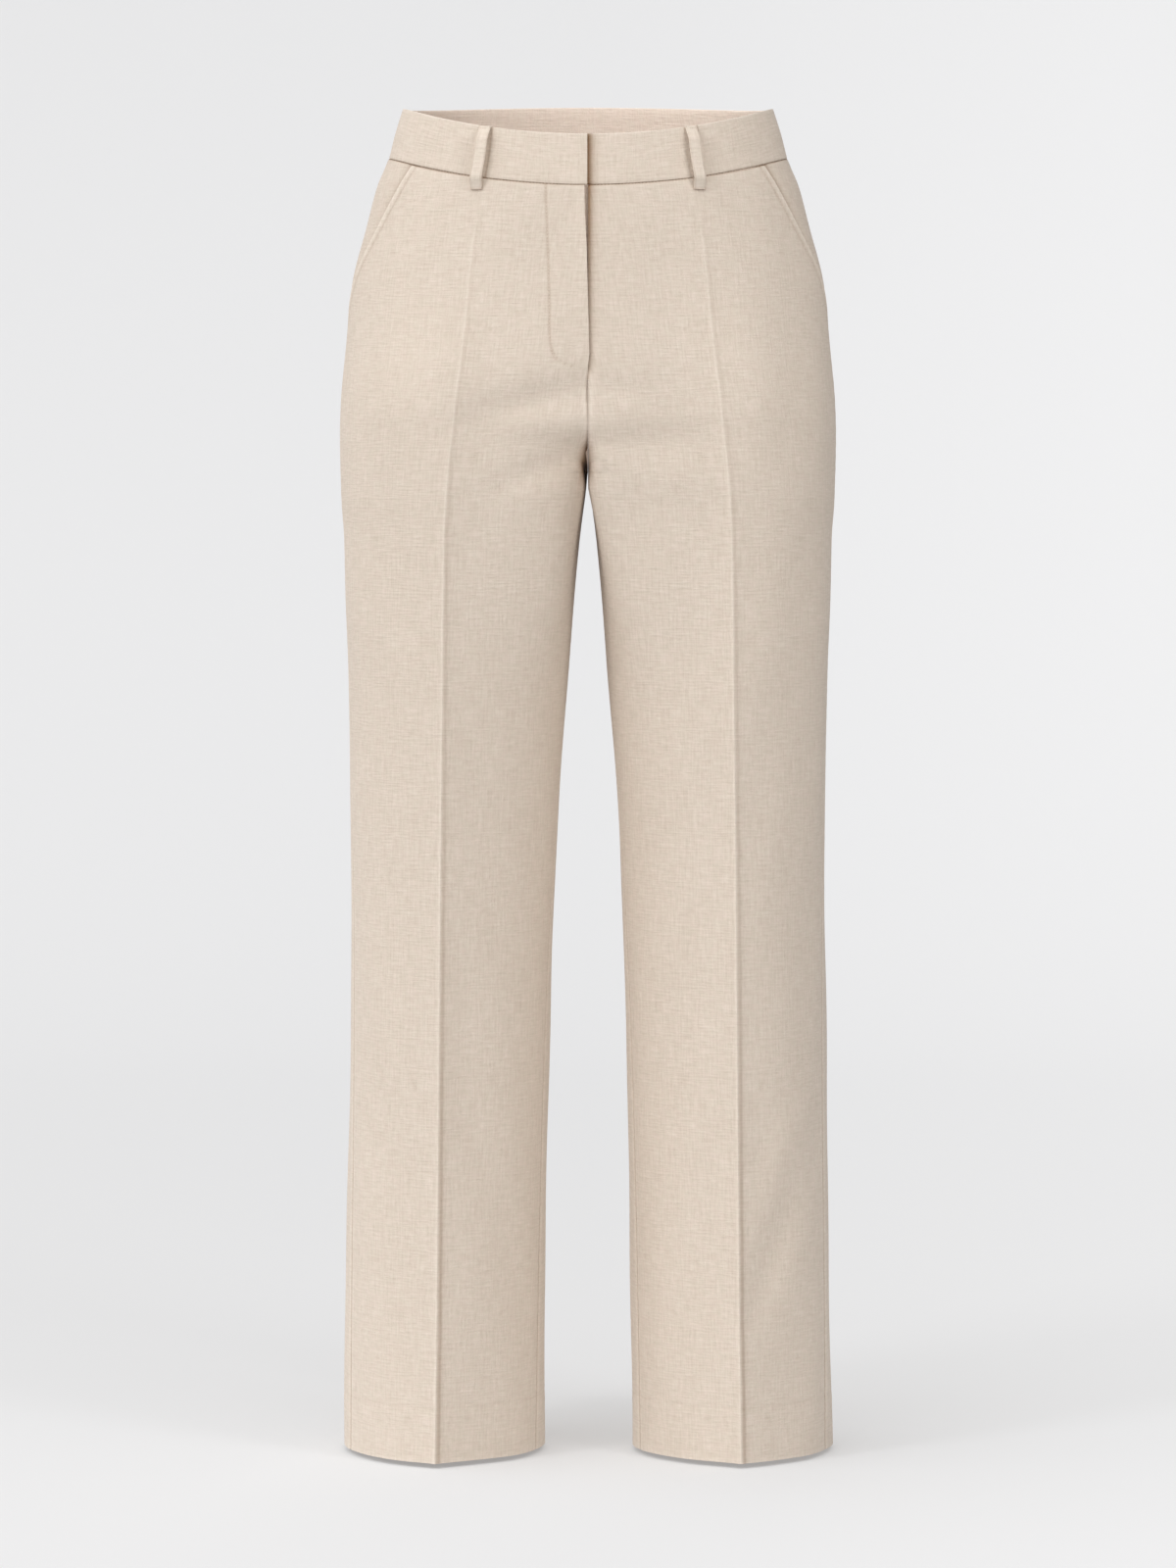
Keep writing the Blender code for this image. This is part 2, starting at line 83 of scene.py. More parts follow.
FLY_END_DROP = 202.0
FLY_ROWS = (FLY_END_DROP - 13.0, FLY_END_DROP - 2.0, FLY_END_DROP + 9.0)
FLY_LIFT = 1.5
FLY_SINK = -1.2
LAP_WIDTH = 12.0
SHIELD_SINK = -2.8
SHIELD_LEFT, SHIELD_RIGHT = 9.0, 30.0
SHIELD_END_DROP = FLY_END_DROP + 8.0

BAND_STEP = 0.4
BAND_LIFT = 1.0
BAND_LAP_WIDTH = 26.0
BAND_UNDERLAP = 22.0
BAND_LAP_EDGE = -0.5

LOOP_WIDTH = 9.5
LOOP_CLOTH = 1.7
LOOP_GAP = 4.8
LOOP_BEND = 0.22
LOOP_BELOW_SEAM = 9.5
LOOP_TACK = 3.6
# The cut of what shows of a loop: its width round the folds, and what its bow adds to its length.
LOOP_CUT_WIDTH, LOOP_GAP_LENGTH = 10.0, 4.0
FRONT_LOOP_SHARE = 0.60
# name, face, side, and its share of the way from the side seam to the centre.
BELT_LOOPS = (
    ("belt_loop_front_left", "front", +1, FRONT_LOOP_SHARE),
    ("belt_loop_front_right", "front", -1, FRONT_LOOP_SHARE),
    ("belt_loop_back_left", "back", +1, 0.40),
    ("belt_loop_back_right", "back", -1, 0.40),
    ("belt_loop_back_centre", "back", +1, 1.0),
)

# Level sections from the top of the waistband to the hem. side and gap: how far the outer and inner side of
# a leg stand from the centre; crease: the pressed line; front and back: the depth each way; seam: how far
# the side seam and the inseam lie in front of mid depth; point: the slope on each side of a crease; turn:
# how far the seam is turned from the leg's widest line. The last two are degrees.
SECTION_COLUMNS = ("drop", "side", "gap", "crease", "front", "back", "seam", "point", "turn")
SECTIONS = (
    (0, 144.1, 0.0, 72.0, 96.0, 104.0, 0, 0, 0),
    (20, 150.4, 0.0, 75.0, 98.0, 106.5, 0, 0, 0),
    (40, 155.6, 0.0, 78.0, 100.0, 109.5, 0, 0, 0),
    (60, 163.8, 0.0, 82.0, 102.0, 113.0, 0, 0, 0),
    (90, 171.8, 0.0, 86.0, 104.0, 118.0, 0, 0, 0),
    (137, 183.7, 0.0, 91.0, 106.0, 124.0, 0, 0, 0),
    (183, 188.3, 0.0, 95.5, 106.5, 126.0, 0, 0, 0),
    (229, 192.4, 0.0, 101.5, 105.0, 123.5, 4, 1.2, 0),
    (252, 193.0, 0.0, 104.0, 103.5, 120.5, 7, 2.4, 0),
    (281, 192.5, 0.0, 107.0, 102.0, 115.5, 10, 3.8, 0),
    (284, 192.4, 0.45, 107.2, 101.9, 115.0, 10, 3.9, 0),
    (304, 191.8, 2.8, 108.6, 101.0, 111.5, 10, 4.6, 0),
    (332, 189.8, 6.2, 109.8, 100.0, 107.0, 10, 5.8, 0),
    (374, 189.0, 10.2, 110.7, 98.5, 101.5, 10, 7.5, 0),
    (436, 187.0, 15.0, 111.4, 96.0, 95.5, 12, 10, 3),
    (528, 185.6, 22.2, 112.6, 93.0, 90.5, 18, 13, 8),
    (620, 185.2, 26.6, 113.6, 91.5, 88.0, 24, 16, 13),
    (758, 187.0, 31.0, 115.0, 91.5, 87.0, 28, 18, 17),
    (927, 190.3, 33.6, 116.6, 93.5, 88.0, 31, 20, 20),
    (1045, 192.2, 34.6, 118.3, 95.0, 91.0, 32, 22, 22),
)
CENTRE_TURN = {"front": 238.0, "back": 200.0}
OVAL_UNTIL_DROP = 120.0
THIGHS_FROM_DROP = 245.0
OVAL_HANDLE = 0.60
SEAM_HANDLE = 0.55
SQUARE_COLUMNS = ("drop", "front", "back")
THIGH_SQUARE = (
    (0, 0.80, 0.66),
    (290, 0.80, 0.66),
    (436, 0.66, 0.60),
    (620, 0.56, 0.56),
    (1045, 0.56, 0.56),
)
RUN_POINTS = 96
TIGHT_CORNER = 17.0
TIGHT_UNTIL_DROP = 480.0
BRIDGE_SOFTNESS = {"front": 10.0, "back": 44.0}

# drop, and how far the slanted pocket mouth lies from the side seam.
POCKET_MOUTH = (
    (41, 62.5), (62, 56.0), (81, 47.5), (104, 36.0), (123, 25.0), (140, 15.0), (158, 5.6), (173, SEAM_EDGE),
)

# Soft troughs (depth above 0) and ridges (below 0).
FOLD_COLUMNS = ("side", "face", "x0", "drop0", "x1", "drop1", "half_width", "depth")
FOLDS = (
    (+1, "front", 176, 800, 127, 935, 13, 3.0),
    (+1, "front", 160, 770, 128, 868, 11, -1.6),
    (-1, "front", -10, 214, 98, 242, 14, 4.6),
    (-1, "front", -6, 260, 76, 296, 11, 3.0),
    (-1, "front", 30, 290, 104, 288, 22, -1.8),
    (+1, "front", 6, 216, 40, 219, 10, 1.6),
    (+1, "front", 6, 280, 104, 284, 22, -3.2),
    (-1, "front", 98, 760, 60, 905, 14, 1.6),
    (-1, "back", 40, 318, 150, 296, 15, 3.0),
    (+1, "back", 34, 326, 144, 300, 14, 2.6),
    (+1, "back", 52, 560, 150, 590, 16, 2.4),
    (-1, "back", 60, 586, 158, 556, 15, 2.6),
    (+1, "back", 140, 905, 70, 985, 14, 2.2),
    (-1, "back", 150, 930, 84, 992, 13, 2.0),
)

# The pressed crease: drop, and how far it stands out. The reach is how fast that dies away beside it.
CREASE = ((70, 0.0), (110, 0.25), (180, 0.45), (300, 0.85), (500, 1.15), (1045, 1.3))
CREASE_REACH = 2.8
CREASE_FLARE = 13.0

# Uneven slackness of filled cloth, as long waves: the periods across and down, and how high they stand.
WAVES = (
    (150.0, 420.0, 0.50),
    (-95.0, 300.0, 0.36),
    (70.0, 520.0, 0.26),
    (-190.0, 160.0, 0.30),
    (52.0, -240.0, 0.16),
)
PUCKER_PERIOD = 11.0
PUCKER_HEIGHT = 0.13
PUCKER_REACH = 6.0
SLACK_FROM_SEAM = 30.0
# How deep each sewn line pulls the cloth in, and how wide.
SEAM_GROOVE = (0.75, 1.3)
WAIST_GROOVE = (0.5, 0.9)
BAND_GROOVE = (0.6, 1.0)
BAND_SIDE_GROOVE = (0.55, 1.2)
TOPSTITCH_GROOVE = (0.28, 1.2)
J_GROOVE = (0.30, 1.3)
DART_GROOVE = (0.65, 1.6)
HEM_GROOVE = (0.16, 1.4)
HEM_RIDGE = (-0.16, 3.0)

# The slot between the thighs above the crotch: the drops where it opens and closes, its depth and half width.
SLOT_DROPS = ((246.0, 272.0), (279.0, 294.0))
# The drops where the painted shade in the slot fades in and out.
SLOT_PAINTED_SHADE_DROPS = ((244.0, 274.0), (CROTCH_DROP - 3.0, CROTCH_DROP + 14.0))
SLOT_DEPTH, SLOT_WIDTH = 2.4, 5.0
# The drops between which the wearer's right thigh turns into shadow, which is painted on its cloth.
THIGH_PAINTED_SHADE_DROPS = ((236.0, 280.0), (300.0, 420.0))

# drop, and how far the fly edge lies past the centre line.
FLY_EDGE = ((55, -2.8), (75, -2.6), (106, -1.2), (150, 0.0), (202, 1.4))
# drop, and how far the J stitch lies from the centre line.
J_STITCH = (
    (62.5, 32.4), (90, 31.4), (120, 30.4), (150, 29.6), (178, 29.2), (188, 27.8), (194.5, 24.0),
    (198.5, 16.5), (201, 7.5), (202.3, 0.8),
)
J_STRAIGHT_ROWS = 6

# Painted light and shade in the cloth's colour: how much darker it is painted along each seam and in each
# shadow, and how much paler (below 0) as a painted highlight on the pressed crease and on edges, and within
# what distance.
PAINTED_SHADES = {
    "waist_seam": (0.85, 0.45),
    "band_seam": (0.75, 0.45),
    "band_top_highlight": (-0.20, 1.3),
    "side_seam": (0.55, 0.9),
    "side_seam_highlight": (-0.14, 1.6),
    "inner_seam_highlight": (-0.16, 1.5),
    "facing_side": (0.5, 0.9),
    "hem_picks": (0.06, 1.1),
    "hem_edge_highlight": (-0.12, 1.2),
    "slot": (0.9, 3.4),
    "inner_thigh_shadow": (0.36, 30.0),
    "topstitch": (0.36, 0.9),
    "pocket_edge": (-0.18, 1.4),
    "j_stitch": (0.42, 0.9),
    "loop_shadow": (0.62, 0.9),
    "loop_far_shadow": (0.3, 0.6),
    "loop_fold": (0.32, 0.5),
    "loop_end": (0.5, 0.02),
}
# How wide the painted shade along a panel's inner seam is.
INNER_SEAM_REACH = 0.7
# The painted shadow beside a lap: how dark, how fast it fades, and the most that it reaches.
PAINTED_BAND_LAP_SHADOW = (1.7, 3.0, 1.25)
PAINTED_FLY_LAP_SHADOW = (1.5, 2.8, 1.0)


# --- tables and curves ---
def smooth_step(start, end, value):
    share = np.clip((value - start) / (end - start), 0.0, 1.0)
    return share * share * (3.0 - 2.0 * share)


def window(opens, closes, value):
    """0 before the first pair of values and after the last pair, and 1 between them."""
    return smooth_step(*opens, value) * (1.0 - smooth_step(*closes, value))


def line(distance, width):
    """1 on a line, and less the farther from it."""
    return np.exp(-((distance / width) ** 2))


def read_table(rows, column, drop):
    """A smooth curve through one column of a table, with no overshoot, read at a drop."""
    xs = np.array([row[0] for row in rows], float)
    ys = np.array([row[column] for row in rows], float)
    rises = np.diff(ys) / np.diff(xs)
    inner = [2 * a * b / (a + b) if a * b > 0 else 0.0 for a, b in zip(rises[:-1], rises[1:])]
    slopes = np.array([rises[0], *inner, rises[-1]])
    k = np.clip(np.searchsorted(xs, drop) - 1, 0, len(xs) - 2)
    width = xs[k + 1] - xs[k]
    t = np.clip((drop - xs[k]) / width, 0.0, 1.0)
    near = (1 + 2 * t) * ys[k] + t * width * slopes[k]
    far = (3 - 2 * t) * ys[k + 1] + (t - 1) * width * slopes[k + 1]
    return (1 - t) ** 2 * near + t * t * far


def arc(start, leaving, end, arriving, count):
    """A cubic arc between two points, with its handles given along the direction of travel."""
    t = np.linspace(0.0, 1.0, count)[:, None]
    start, end = np.array(start, float), np.array(end, float)
    near, far = start + np.array(leaving), end - np.array(arriving)
    return (1 - t) ** 3 * start + 3 * (1 - t) ** 2 * t * near + 3 * (1 - t) * t**2 * far + t**3 * end


def lengths_along(points):
    return np.concatenate([[0.0], np.cumsum(np.linalg.norm(np.diff(points, axis=0), axis=1))])


def evenly(points):
    along = lengths_along(points)
    wanted = np.linspace(0.0, along[-1], RUN_POINTS)
    return np.stack([np.interp(wanted, along, points[:, k]) for k in (0, 1)], axis=-1)


# --- sections ---
def section(drop):
    sizes = {name: float(read_table(SECTIONS, k, drop)) for k, name in enumerate(SECTION_COLUMNS) if k}
    if drop <= CROTCH_DROP:
        sizes["gap"] = 0.0
    sizes["point"] = math.radians(sizes["point"])
    sizes["turn"] = math.radians(sizes["turn"])
    return sizes


def oval_halves(sizes, face):
    """The hip oval of one face: side seam to crease, and crease to centre."""
    way = -1.0 if face == "front" else 1.0
    depth = way * sizes[face]
    leaving = (0.0, OVAL_HANDLE * (depth + sizes["seam"]))
    arriving = (-OVAL_HANDLE * sizes["side"], 0.0)
    points = arc((sizes["side"], -sizes["seam"]), leaving, (0.0, depth), arriving, 4 * RUN_POINTS)
    cut = int(np.argmin(np.abs(points[:, 0] - sizes["crease"])))
    return points[: cut + 1], points[cut:]


def centre_depth(sizes, face, drop):
    """The y of the centre seam at a drop: on the oval, then along a quarter ellipse to the crotch."""
    depth = -sizes["front"] if face == "front" else sizes["back"]
    crotch = -float(read_table(SECTIONS, SECTION_COLUMNS.index("seam"), CROTCH_DROP))
    share = (drop - CENTRE_TURN[face]) / (CROTCH_DROP - CENTRE_TURN[face])
    share = min(max(share, 0.0), 1.0)
    return depth + (crotch - depth) * (1.0 - math.sqrt(1.0 - share * share))


def tight_corner(crease, inner, point):
    """From a front crease straight to a tight corner by the inseam, and back along the inner side."""
    corner = np.array((inner[0], crease[1] + (crease[0] - inner[0]) * math.tan(point)))
    before = corner + TIGHT_CORNER * np.array((math.cos(point), -math.sin(point)))
    after = corner + (0.0, TIGHT_CORNER)
    t = np.linspace(0.0, 1.0, 24)[:, None]
    bend = (1 - t) ** 2 * before + 2 * t * (1 - t) * corner + t * t * after
    return np.concatenate([[crease], bend, [inner]])


def bridge_thighs(inside, depth, way, softness):
    """Above the crotch the cloth bridges the two thighs at the depth of the centre seam."""
    out, level = way * inside[:, 1], way * depth
    share = np.linspace(0.0, 1.0, len(inside))
    near = np.maximum(softness - np.abs(out - level), 0.0) / softness
    bridged = np.maximum(out, level) + share * (1.0 - share) * near * near * softness
    return np.stack([inside[:, 0], way * bridged], axis=-1)


def leg_halves(sizes, face, drop):
    """One face of a thigh or leg: side seam to crease, and crease to centre seam or inseam."""
    way = -1.0 if face == "front" else 1.0
    cos_point, sin_point = math.cos(sizes["point"]), way * math.sin(sizes["point"])
    cos_turn, sin_turn = way * math.cos(sizes["turn"]), way * math.sin(sizes["turn"])
    inset = 0.5 * sizes["seam"] * math.tan(sizes["turn"])
    side = np.array((sizes["side"] - inset, -sizes["seam"]))
    crease = np.array((sizes["crease"], way * sizes[face]))
    inner = np.array((sizes["gap"] + inset, -sizes["seam"]))
    square = float(read_table(THIGH_SQUARE, SQUARE_COLUMNS.index(face), drop))
    outer_width, inner_width = side[0] - crease[0], crease[0] - inner[0]
    outer_depth, inner_depth = abs(crease[1] - side[1]), abs(crease[1] - inner[1])
    outer = arc(
        side,
        SEAM_HANDLE * outer_depth * np.array((sin_turn, cos_turn)),
        crease,
        SEAM_HANDLE * outer_width * np.array((-cos_point, sin_point)),
        2 * RUN_POINTS,
    )
    inside = arc(
        crease,
        square * inner_width * np.array((-cos_point, -sin_point)),
        inner,
        SEAM_HANDLE * inner_depth * np.array((sin_turn, -cos_turn)),
        2 * RUN_POINTS,
    )
    inside = evenly(inside)
    if face == "front":
        tight = 1.0 - smooth_step(CROTCH_DROP, TIGHT_UNTIL_DROP, drop)
        inside = tight * evenly(tight_corner(crease, inner, sizes["point"])) + (1.0 - tight) * inside
    if drop < CROTCH_DROP:
        inside = bridge_thighs(inside, centre_depth(sizes, face, drop), way, BRIDGE_SOFTNESS[face])
    return outer, inside


def fit_width(points, crease, wanted, found):
    """Stretches a half run across, so that it reaches as far from the crease as the section says."""
    return (points - (crease, 0.0)) * ((wanted - crease) / (found - crease), 1.0) + (crease, 0.0)


def run_halves(face, drop):
    sizes = section(drop)
    outer, inside = leg_halves(sizes, face, drop)
    if drop > CROTCH_DROP:
        behind = leg_halves(sizes, "back", drop)
        outer = fit_width(outer, sizes["crease"], sizes["side"], behind[0][:, 0].max())
        inside = fit_width(inside, sizes["crease"], sizes["gap"], behind[1][:, 0].min())
    outer, inside = evenly(outer), evenly(inside)
    thigh = smooth_step(OVAL_UNTIL_DROP, THIGHS_FROM_DROP, drop)
    if thigh < 1.0:
        oval_outer, oval_inside = oval_halves(sizes, face)
        outer = (1 - thigh) * evenly(oval_outer) + thigh * outer
        inside = (1 - thigh) * evenly(oval_inside) + thigh * inside
    return outer, inside


def all_runs(face):
    """Every level run of one face: its points, and its lengths as far as the crease and the centre."""
    halves = [run_halves(face, drop) for drop in RUN_DROPS]
    points = np.array([np.concatenate([outer, inside[1:]]) for outer, inside in halves])
    crease = np.array([lengths_along(outer)[-1] for outer, _ in halves])
    whole = crease + np.array([lengths_along(inside)[-1] for _, inside in halves])
    return points, crease, whole


RUN_DROPS = np.unique(
    np.concatenate([np.arange(-7.5, HEM_DROP, 2.5), np.arange(195.0, 300.0, 0.5), [HEM_DROP]])
)
RUNS = {face: all_runs(face) for face in ("front", "back")}


def crease_length(face, drop):
    return np.interp(drop, RUN_DROPS, RUNS[face][1])


def whole_length(face, drop):
    return np.interp(drop, RUN_DROPS, RUNS[face][2])


def read_runs(face, drop, length):
    """The level x and y of places on one face. Past the centre a run goes on as its own mirror image."""
    points = RUNS[face][0]
    at = np.interp(drop, RUN_DROPS, np.arange(len(RUN_DROPS)))
    row = np.minimum(at.astype(int), len(RUN_DROPS) - 2)
    down = (at - row)[..., None]
    crease, whole = crease_length(face, drop), whole_length(face, drop)
    past = length > whole
    folded = np.where(past, 2 * whole - length, length)
    share = np.where(folded < crease, folded / crease, 1 + (folded - crease) / (whole - crease))
    at = np.clip(share * (RUN_POINTS - 1), 0.0, 2 * RUN_POINTS - 2.001)
    column = at.astype(int)
    across = (at - column)[..., None]
    above = points[row, column] * (1 - across) + points[row, column + 1] * across
    below = points[row + 1, column] * (1 - across) + points[row + 1, column + 1] * across
    found = above * (1 - down) + below * down
    found[..., 0] = np.where(past, -found[..., 0], found[..., 0])
    return found


def waist_dip(face, share):
    """How far the waistline lies below its level at the sides, at a share of the way to the centre."""
    share = np.minimum(share, 2.0 - share)
    whole = whole_length(face, BAND_HEIGHT)
    drop = np.full(np.shape(share), BAND_HEIGHT)
    x = read_runs(face, drop, share * whole)[..., 0]
    side = read_runs(face, np.array(BAND_HEIGHT), np.array(0.0))[0]
    return (FRONT_DIP if face == "front" else -BACK_RISE) * (1.0 - (x / side) ** 2)


def fold_depth(side, face, x, drop):
    depth = np.zeros(np.shape(x))
    for row in FOLDS:
        fold = dict(zip(FOLD_COLUMNS, row))
        if (fold["side"], fold["face"]) != (side, face):
            continue
        way = np.array((fold["x1"] - fold["x0"], fold["drop1"] - fold["drop0"]), float)
        here = np.stack([x - fold["x0"], drop - fold["drop0"]], axis=-1)
        share = np.clip(here @ way / (way @ way), 0.0, 1.0)
        across = np.linalg.norm(here - share[..., None] * way, axis=-1) / fold["half_width"]
        depth += fold["depth"] * np.sin(np.pi * (0.12 + 0.76 * share)) * np.exp(-across * across)
    return depth


def place(side, face, drop, length, out=0.0):
    """Points of the body in metres: at a drop and a length from the side seam, moved out from the cloth."""
    drop, length, out = np.broadcast_arrays(np.asarray(drop, float), length, out)
    x, y = np.moveaxis(read_runs(face, drop, length), -1, 0)
    limit = np.where(drop > CROTCH_DROP, whole_length(face, drop), np.inf)
    along = read_runs(face, drop, np.minimum(length + 2.0, limit))
    along = along - read_runs(face, drop, np.maximum(length - 2.0, 0.0))
    along /= np.linalg.norm(along, axis=-1)[..., None]
    way = 1.0 if face == "front" else -1.0
    out = out - fold_depth(side, face, np.abs(x), drop) * smooth_step(0.0, 16.0, length)
    x, y = x - way * along[..., 1] * out, y + way * along[..., 0] * out
    within = (drop > CENTRE_TURN[face]) & (length <= whole_length(face, drop))
    x = np.where(within, np.maximum(x, SEAM_EDGE), x)
    return np.stack([side * x, y, -drop], axis=-1) * MM


# --- how the cloth lies ---
def waves(side, face, drop, length):
    """The slack of filled cloth, different on each panel."""
    shift = {(+1, "front"): 0.0, (-1, "front"): 1.7, (+1, "back"): 3.1, (-1, "back"): 4.9}[side, face]
    total = 0.0
    for k, (across, down, height) in enumerate(WAVES):
        total = total + height * np.sin(2 * np.pi * (length / across + drop / down) + shift * (k + 1))
    return total


def pucker(side, at, distance):
    """Fine unevenness that a seam gathers beside itself. at is how far along the seam a point lies."""
    height = PUCKER_HEIGHT * (0.6 + 0.4 * np.sin(at / 37.0 + side))
    ripple = np.sin(2 * np.pi * at / PUCKER_PERIOD + 2 * np.sin(at / 23.0))
    return height * ripple * np.exp(-np.abs(distance) / PUCKER_REACH)


def groove(distance, sizes=SEAM_GROOVE):
    depth, width = sizes
    return -depth * line(distance, width)


def painted_line(name, distance):
    strength, reach = PAINTED_SHADES[name]
    return strength * line(distance, reach)


def painted_lap_shadow(sizes, distance):
    strength, reach, most = sizes
    return np.minimum(strength * np.exp(-np.maximum(distance, 0.0) / reach), most)


def pocket_edge(drop):
    """How far the slanted pocket mouth lies from the side seam."""
    return read_table(POCKET_MOUTH, 1, drop)


def fly_share(drop):
    return 1.0 - smooth_step(FLY_ROWS[1], FLY_ROWS[2], drop)


def j_line(drop):
    """How far the J stitch lies from the centre."""
    drops, from_centre = np.transpose(J_STITCH)
    return np.interp(drop, drops, from_centre)


def outer_sewn(face, drop):
    """1 where a panel's outer edge is sewn into the side seam, and 0 at the open pocket mouth."""
    return 1.0 if face == "back" else smooth_step(POCKET_END_DROP - 6.0, POCKET_END_DROP + 4.0, drop)


def inner_sewn(face, drop):
    """1 where a panel's inner edge is sewn, and 0 where it is the open fly."""
    return 1.0 if face == "back" else 1.0 - fly_share(drop)


def front_end(side, drop):
    """Where a front ends at the centre: the wearer's right laps over the left as far as the fly goes."""
    whole = whole_length("front", drop) - SEAM_EDGE
    if side > 0:
        return whole
    lap = 1.0 - smooth_step(FLY_ROWS[0], FLY_ROWS[1], drop)
    return whole + (SEAM_EDGE + read_table(FLY_EDGE, 1, drop)) * lap


def panel_edges(side, face, drop):
    """How far a leg panel's outer and inner edges lie from the side seam."""
    if face == "back":
        return SEAM_EDGE + 0.0 * drop, whole_length(face, drop) - SEAM_EDGE
    return pocket_edge(drop), front_end(side, drop)


def crotch_slot(face, drop, length):
    """How deep the fold between the thighs cuts in beside the centre seam, above the crotch."""
    x, y = np.moveaxis(read_runs(face, drop, length), -1, 0)
    seam_y = read_runs(face, drop, whole_length(face, drop))[..., 1]
    way = -1.0 if face == "front" else 1.0
    from_seam = way * (y - seam_y) / 40.0
    return SLOT_DEPTH * window(*SLOT_DROPS, drop) * smooth_step(0.1, 0.7, from_seam) * line(x, SLOT_WIDTH)


def cloth_out(side, face, drop, length, waist):
    """How far a leg panel's cloth stands out from its run at each place."""
    start, end = panel_edges(side, face, drop)
    to_crease = np.abs(length - crease_length(face, drop))
    pressed = np.exp(-to_crease / CREASE_REACH) + 1.5 * np.exp(-to_crease / CREASE_FLARE)
    out = read_table(CREASE, 1, drop) * pressed
    loose = 0.25 + 0.75 * smooth_step(4.0, 26.0, to_crease)
    for distance in (length - start, end - length, (drop - waist) / 2):
        loose = loose * smooth_step(0.0, SLACK_FROM_SEAM, distance)
    out = out + loose * waves(side, face, drop, length)
    outer_seam = groove(length - start) + pucker(side, drop, length - start)
    inner_seam = groove(end - length) + pucker(-side, drop + 50.0, end - length)
    out = out + outer_sewn(face, drop) * outer_seam + inner_sewn(face, drop) * inner_seam
    out = out - crotch_slot(face, drop, length)
    out = out + groove(drop - waist, WAIST_GROOVE) + pucker(side, length, drop - waist)
    from_fold = drop - HEM_FOLD_DROP
    out = out + groove(from_fold + 4.5, HEM_GROOVE) + groove(from_fold - 2.0, HEM_RIDGE)
    if face == "back":
        return out
    pocket = 1.0 - smooth_step(POCKET_END_DROP - 20.0, POCKET_END_DROP, drop)
    gape = np.sin(np.pi * np.clip((drop - waist) / (POCKET_END_DROP - 45.0), 0.0, 1.0))
    out = out + pocket * POCKET_GAPE * gape * np.exp(-(length - start) / 9.0)
    out = out + pocket * groove(length - start - POCKET_TOPSTITCH, TOPSTITCH_GROOVE)
    to_centre = whole_length(face, drop) - length
    if side > 0:
        return out + FLY_SINK * fly_share(drop) * (1.0 - smooth_step(0.0, 8.0, to_centre))
    standing = FLY_LIFT * (1.35 - 0.7 * smooth_step(60.0, FLY_END_DROP, drop))
    out = out + standing * fly_share(drop) * (1.0 - smooth_step(0.0, LAP_WIDTH, to_centre))
    return out + np.where(drop < J_STITCH[-1][0], groove(to_centre - j_line(drop), J_GROOVE), 0.0)


def painted_cloth_shade(side, face, drop, length, waist):
    """How much darker a leg panel's cloth is painted along its seams and in its shadows, and paler where
    light catches the pressed crease and edges: painted shade and highlight.
    """
    start, end = panel_edges(side, face, drop)
    from_start = length - start
    # Painted shade along the seams, with a painted highlight beside them.
    outer_seam = painted_line("side_seam", from_start) + painted_line("side_seam_highlight", from_start - 3.0)
    strength = 0.45 if face == "front" else 0.6
    strength = strength + 0.2 * smooth_step(CROTCH_DROP, CROTCH_DROP + 60.0, drop)
    inner_seam = strength * line(end - length, INNER_SEAM_REACH)
    inner_seam = inner_seam + painted_line("inner_seam_highlight", end - length - 2.6)
    above_crotch = 1.0 - 0.35 * smooth_step(CROTCH_DROP, CROTCH_DROP + 30.0, drop)
    painted_shade = painted_line("waist_seam", drop - waist) + outer_sewn(face, drop) * outer_seam
    painted_shade = painted_shade + inner_sewn(face, drop) * above_crotch * inner_seam
    pressed = smooth_step(70.0, 115.0, drop)
    to_crease = length - crease_length(face, drop)
    below_hips = smooth_step(200.0, 400.0, drop)
    # Painted highlight along the pressed crease.
    painted_shade = painted_shade - (0.17 + 0.04 * below_hips) * pressed * line(to_crease, 1.0)
    # Painted shade at the hem's picks and a painted highlight along its bottom edge.
    painted_shade = painted_shade + painted_line("hem_picks", drop - HEM_FOLD_DROP + 4.5)
    painted_shade = painted_shade + painted_line("hem_edge_highlight", drop - HEM_DROP + 0.5)
    if face == "back":
        return painted_shade
    # Painted shadow beside the crease, on the side turned away from the light.
    painted_crease_shadow = 0.10 + 0.12 * below_hips + 0.32 * smooth_step(450.0, 1000.0, drop)
    painted_shade = painted_shade + painted_crease_shadow * pressed * line(side * to_crease + 2.1, 1.5)
    x = read_runs(face, drop, length)[..., 0]
    # Painted shade in the slot between the thighs.
    painted_shade = painted_shade + window(*SLOT_PAINTED_SHADE_DROPS, drop) * painted_line("slot", x)
    pocket = 1.0 - smooth_step(POCKET_END_DROP - 12.0, POCKET_END_DROP, drop)
    # Painted shade along the pocket's topstitching, and a painted highlight along its mouth edge.
    mouth = painted_line("topstitch", from_start - POCKET_TOPSTITCH) + painted_line("pocket_edge", from_start - 1.0)
    painted_shade = painted_shade + pocket * mouth
    to_centre = whole_length(face, drop) - length
    if side > 0:
        # Painted shadow that the fly's lap casts on the wearer's left front.
        strength = 1.15 - 0.65 * smooth_step(60.0, 190.0, drop)
        return painted_shade + strength * fly_share(drop) * painted_lap_shadow(PAINTED_FLY_LAP_SHADOW, to_centre)
    # Painted shadow on the inner side of the wearer's right thigh.
    painted_shade = painted_shade + window(*THIGH_PAINTED_SHADE_DROPS, drop) * painted_line("inner_thigh_shadow", x)
    # Painted shade along the J stitch.
    above = smooth_step(J_STITCH[-1][0] + 1.0, J_STITCH[-1][0] - 1.0, drop)
    return painted_shade + above * painted_line("j_stitch", to_centre - j_line(drop))


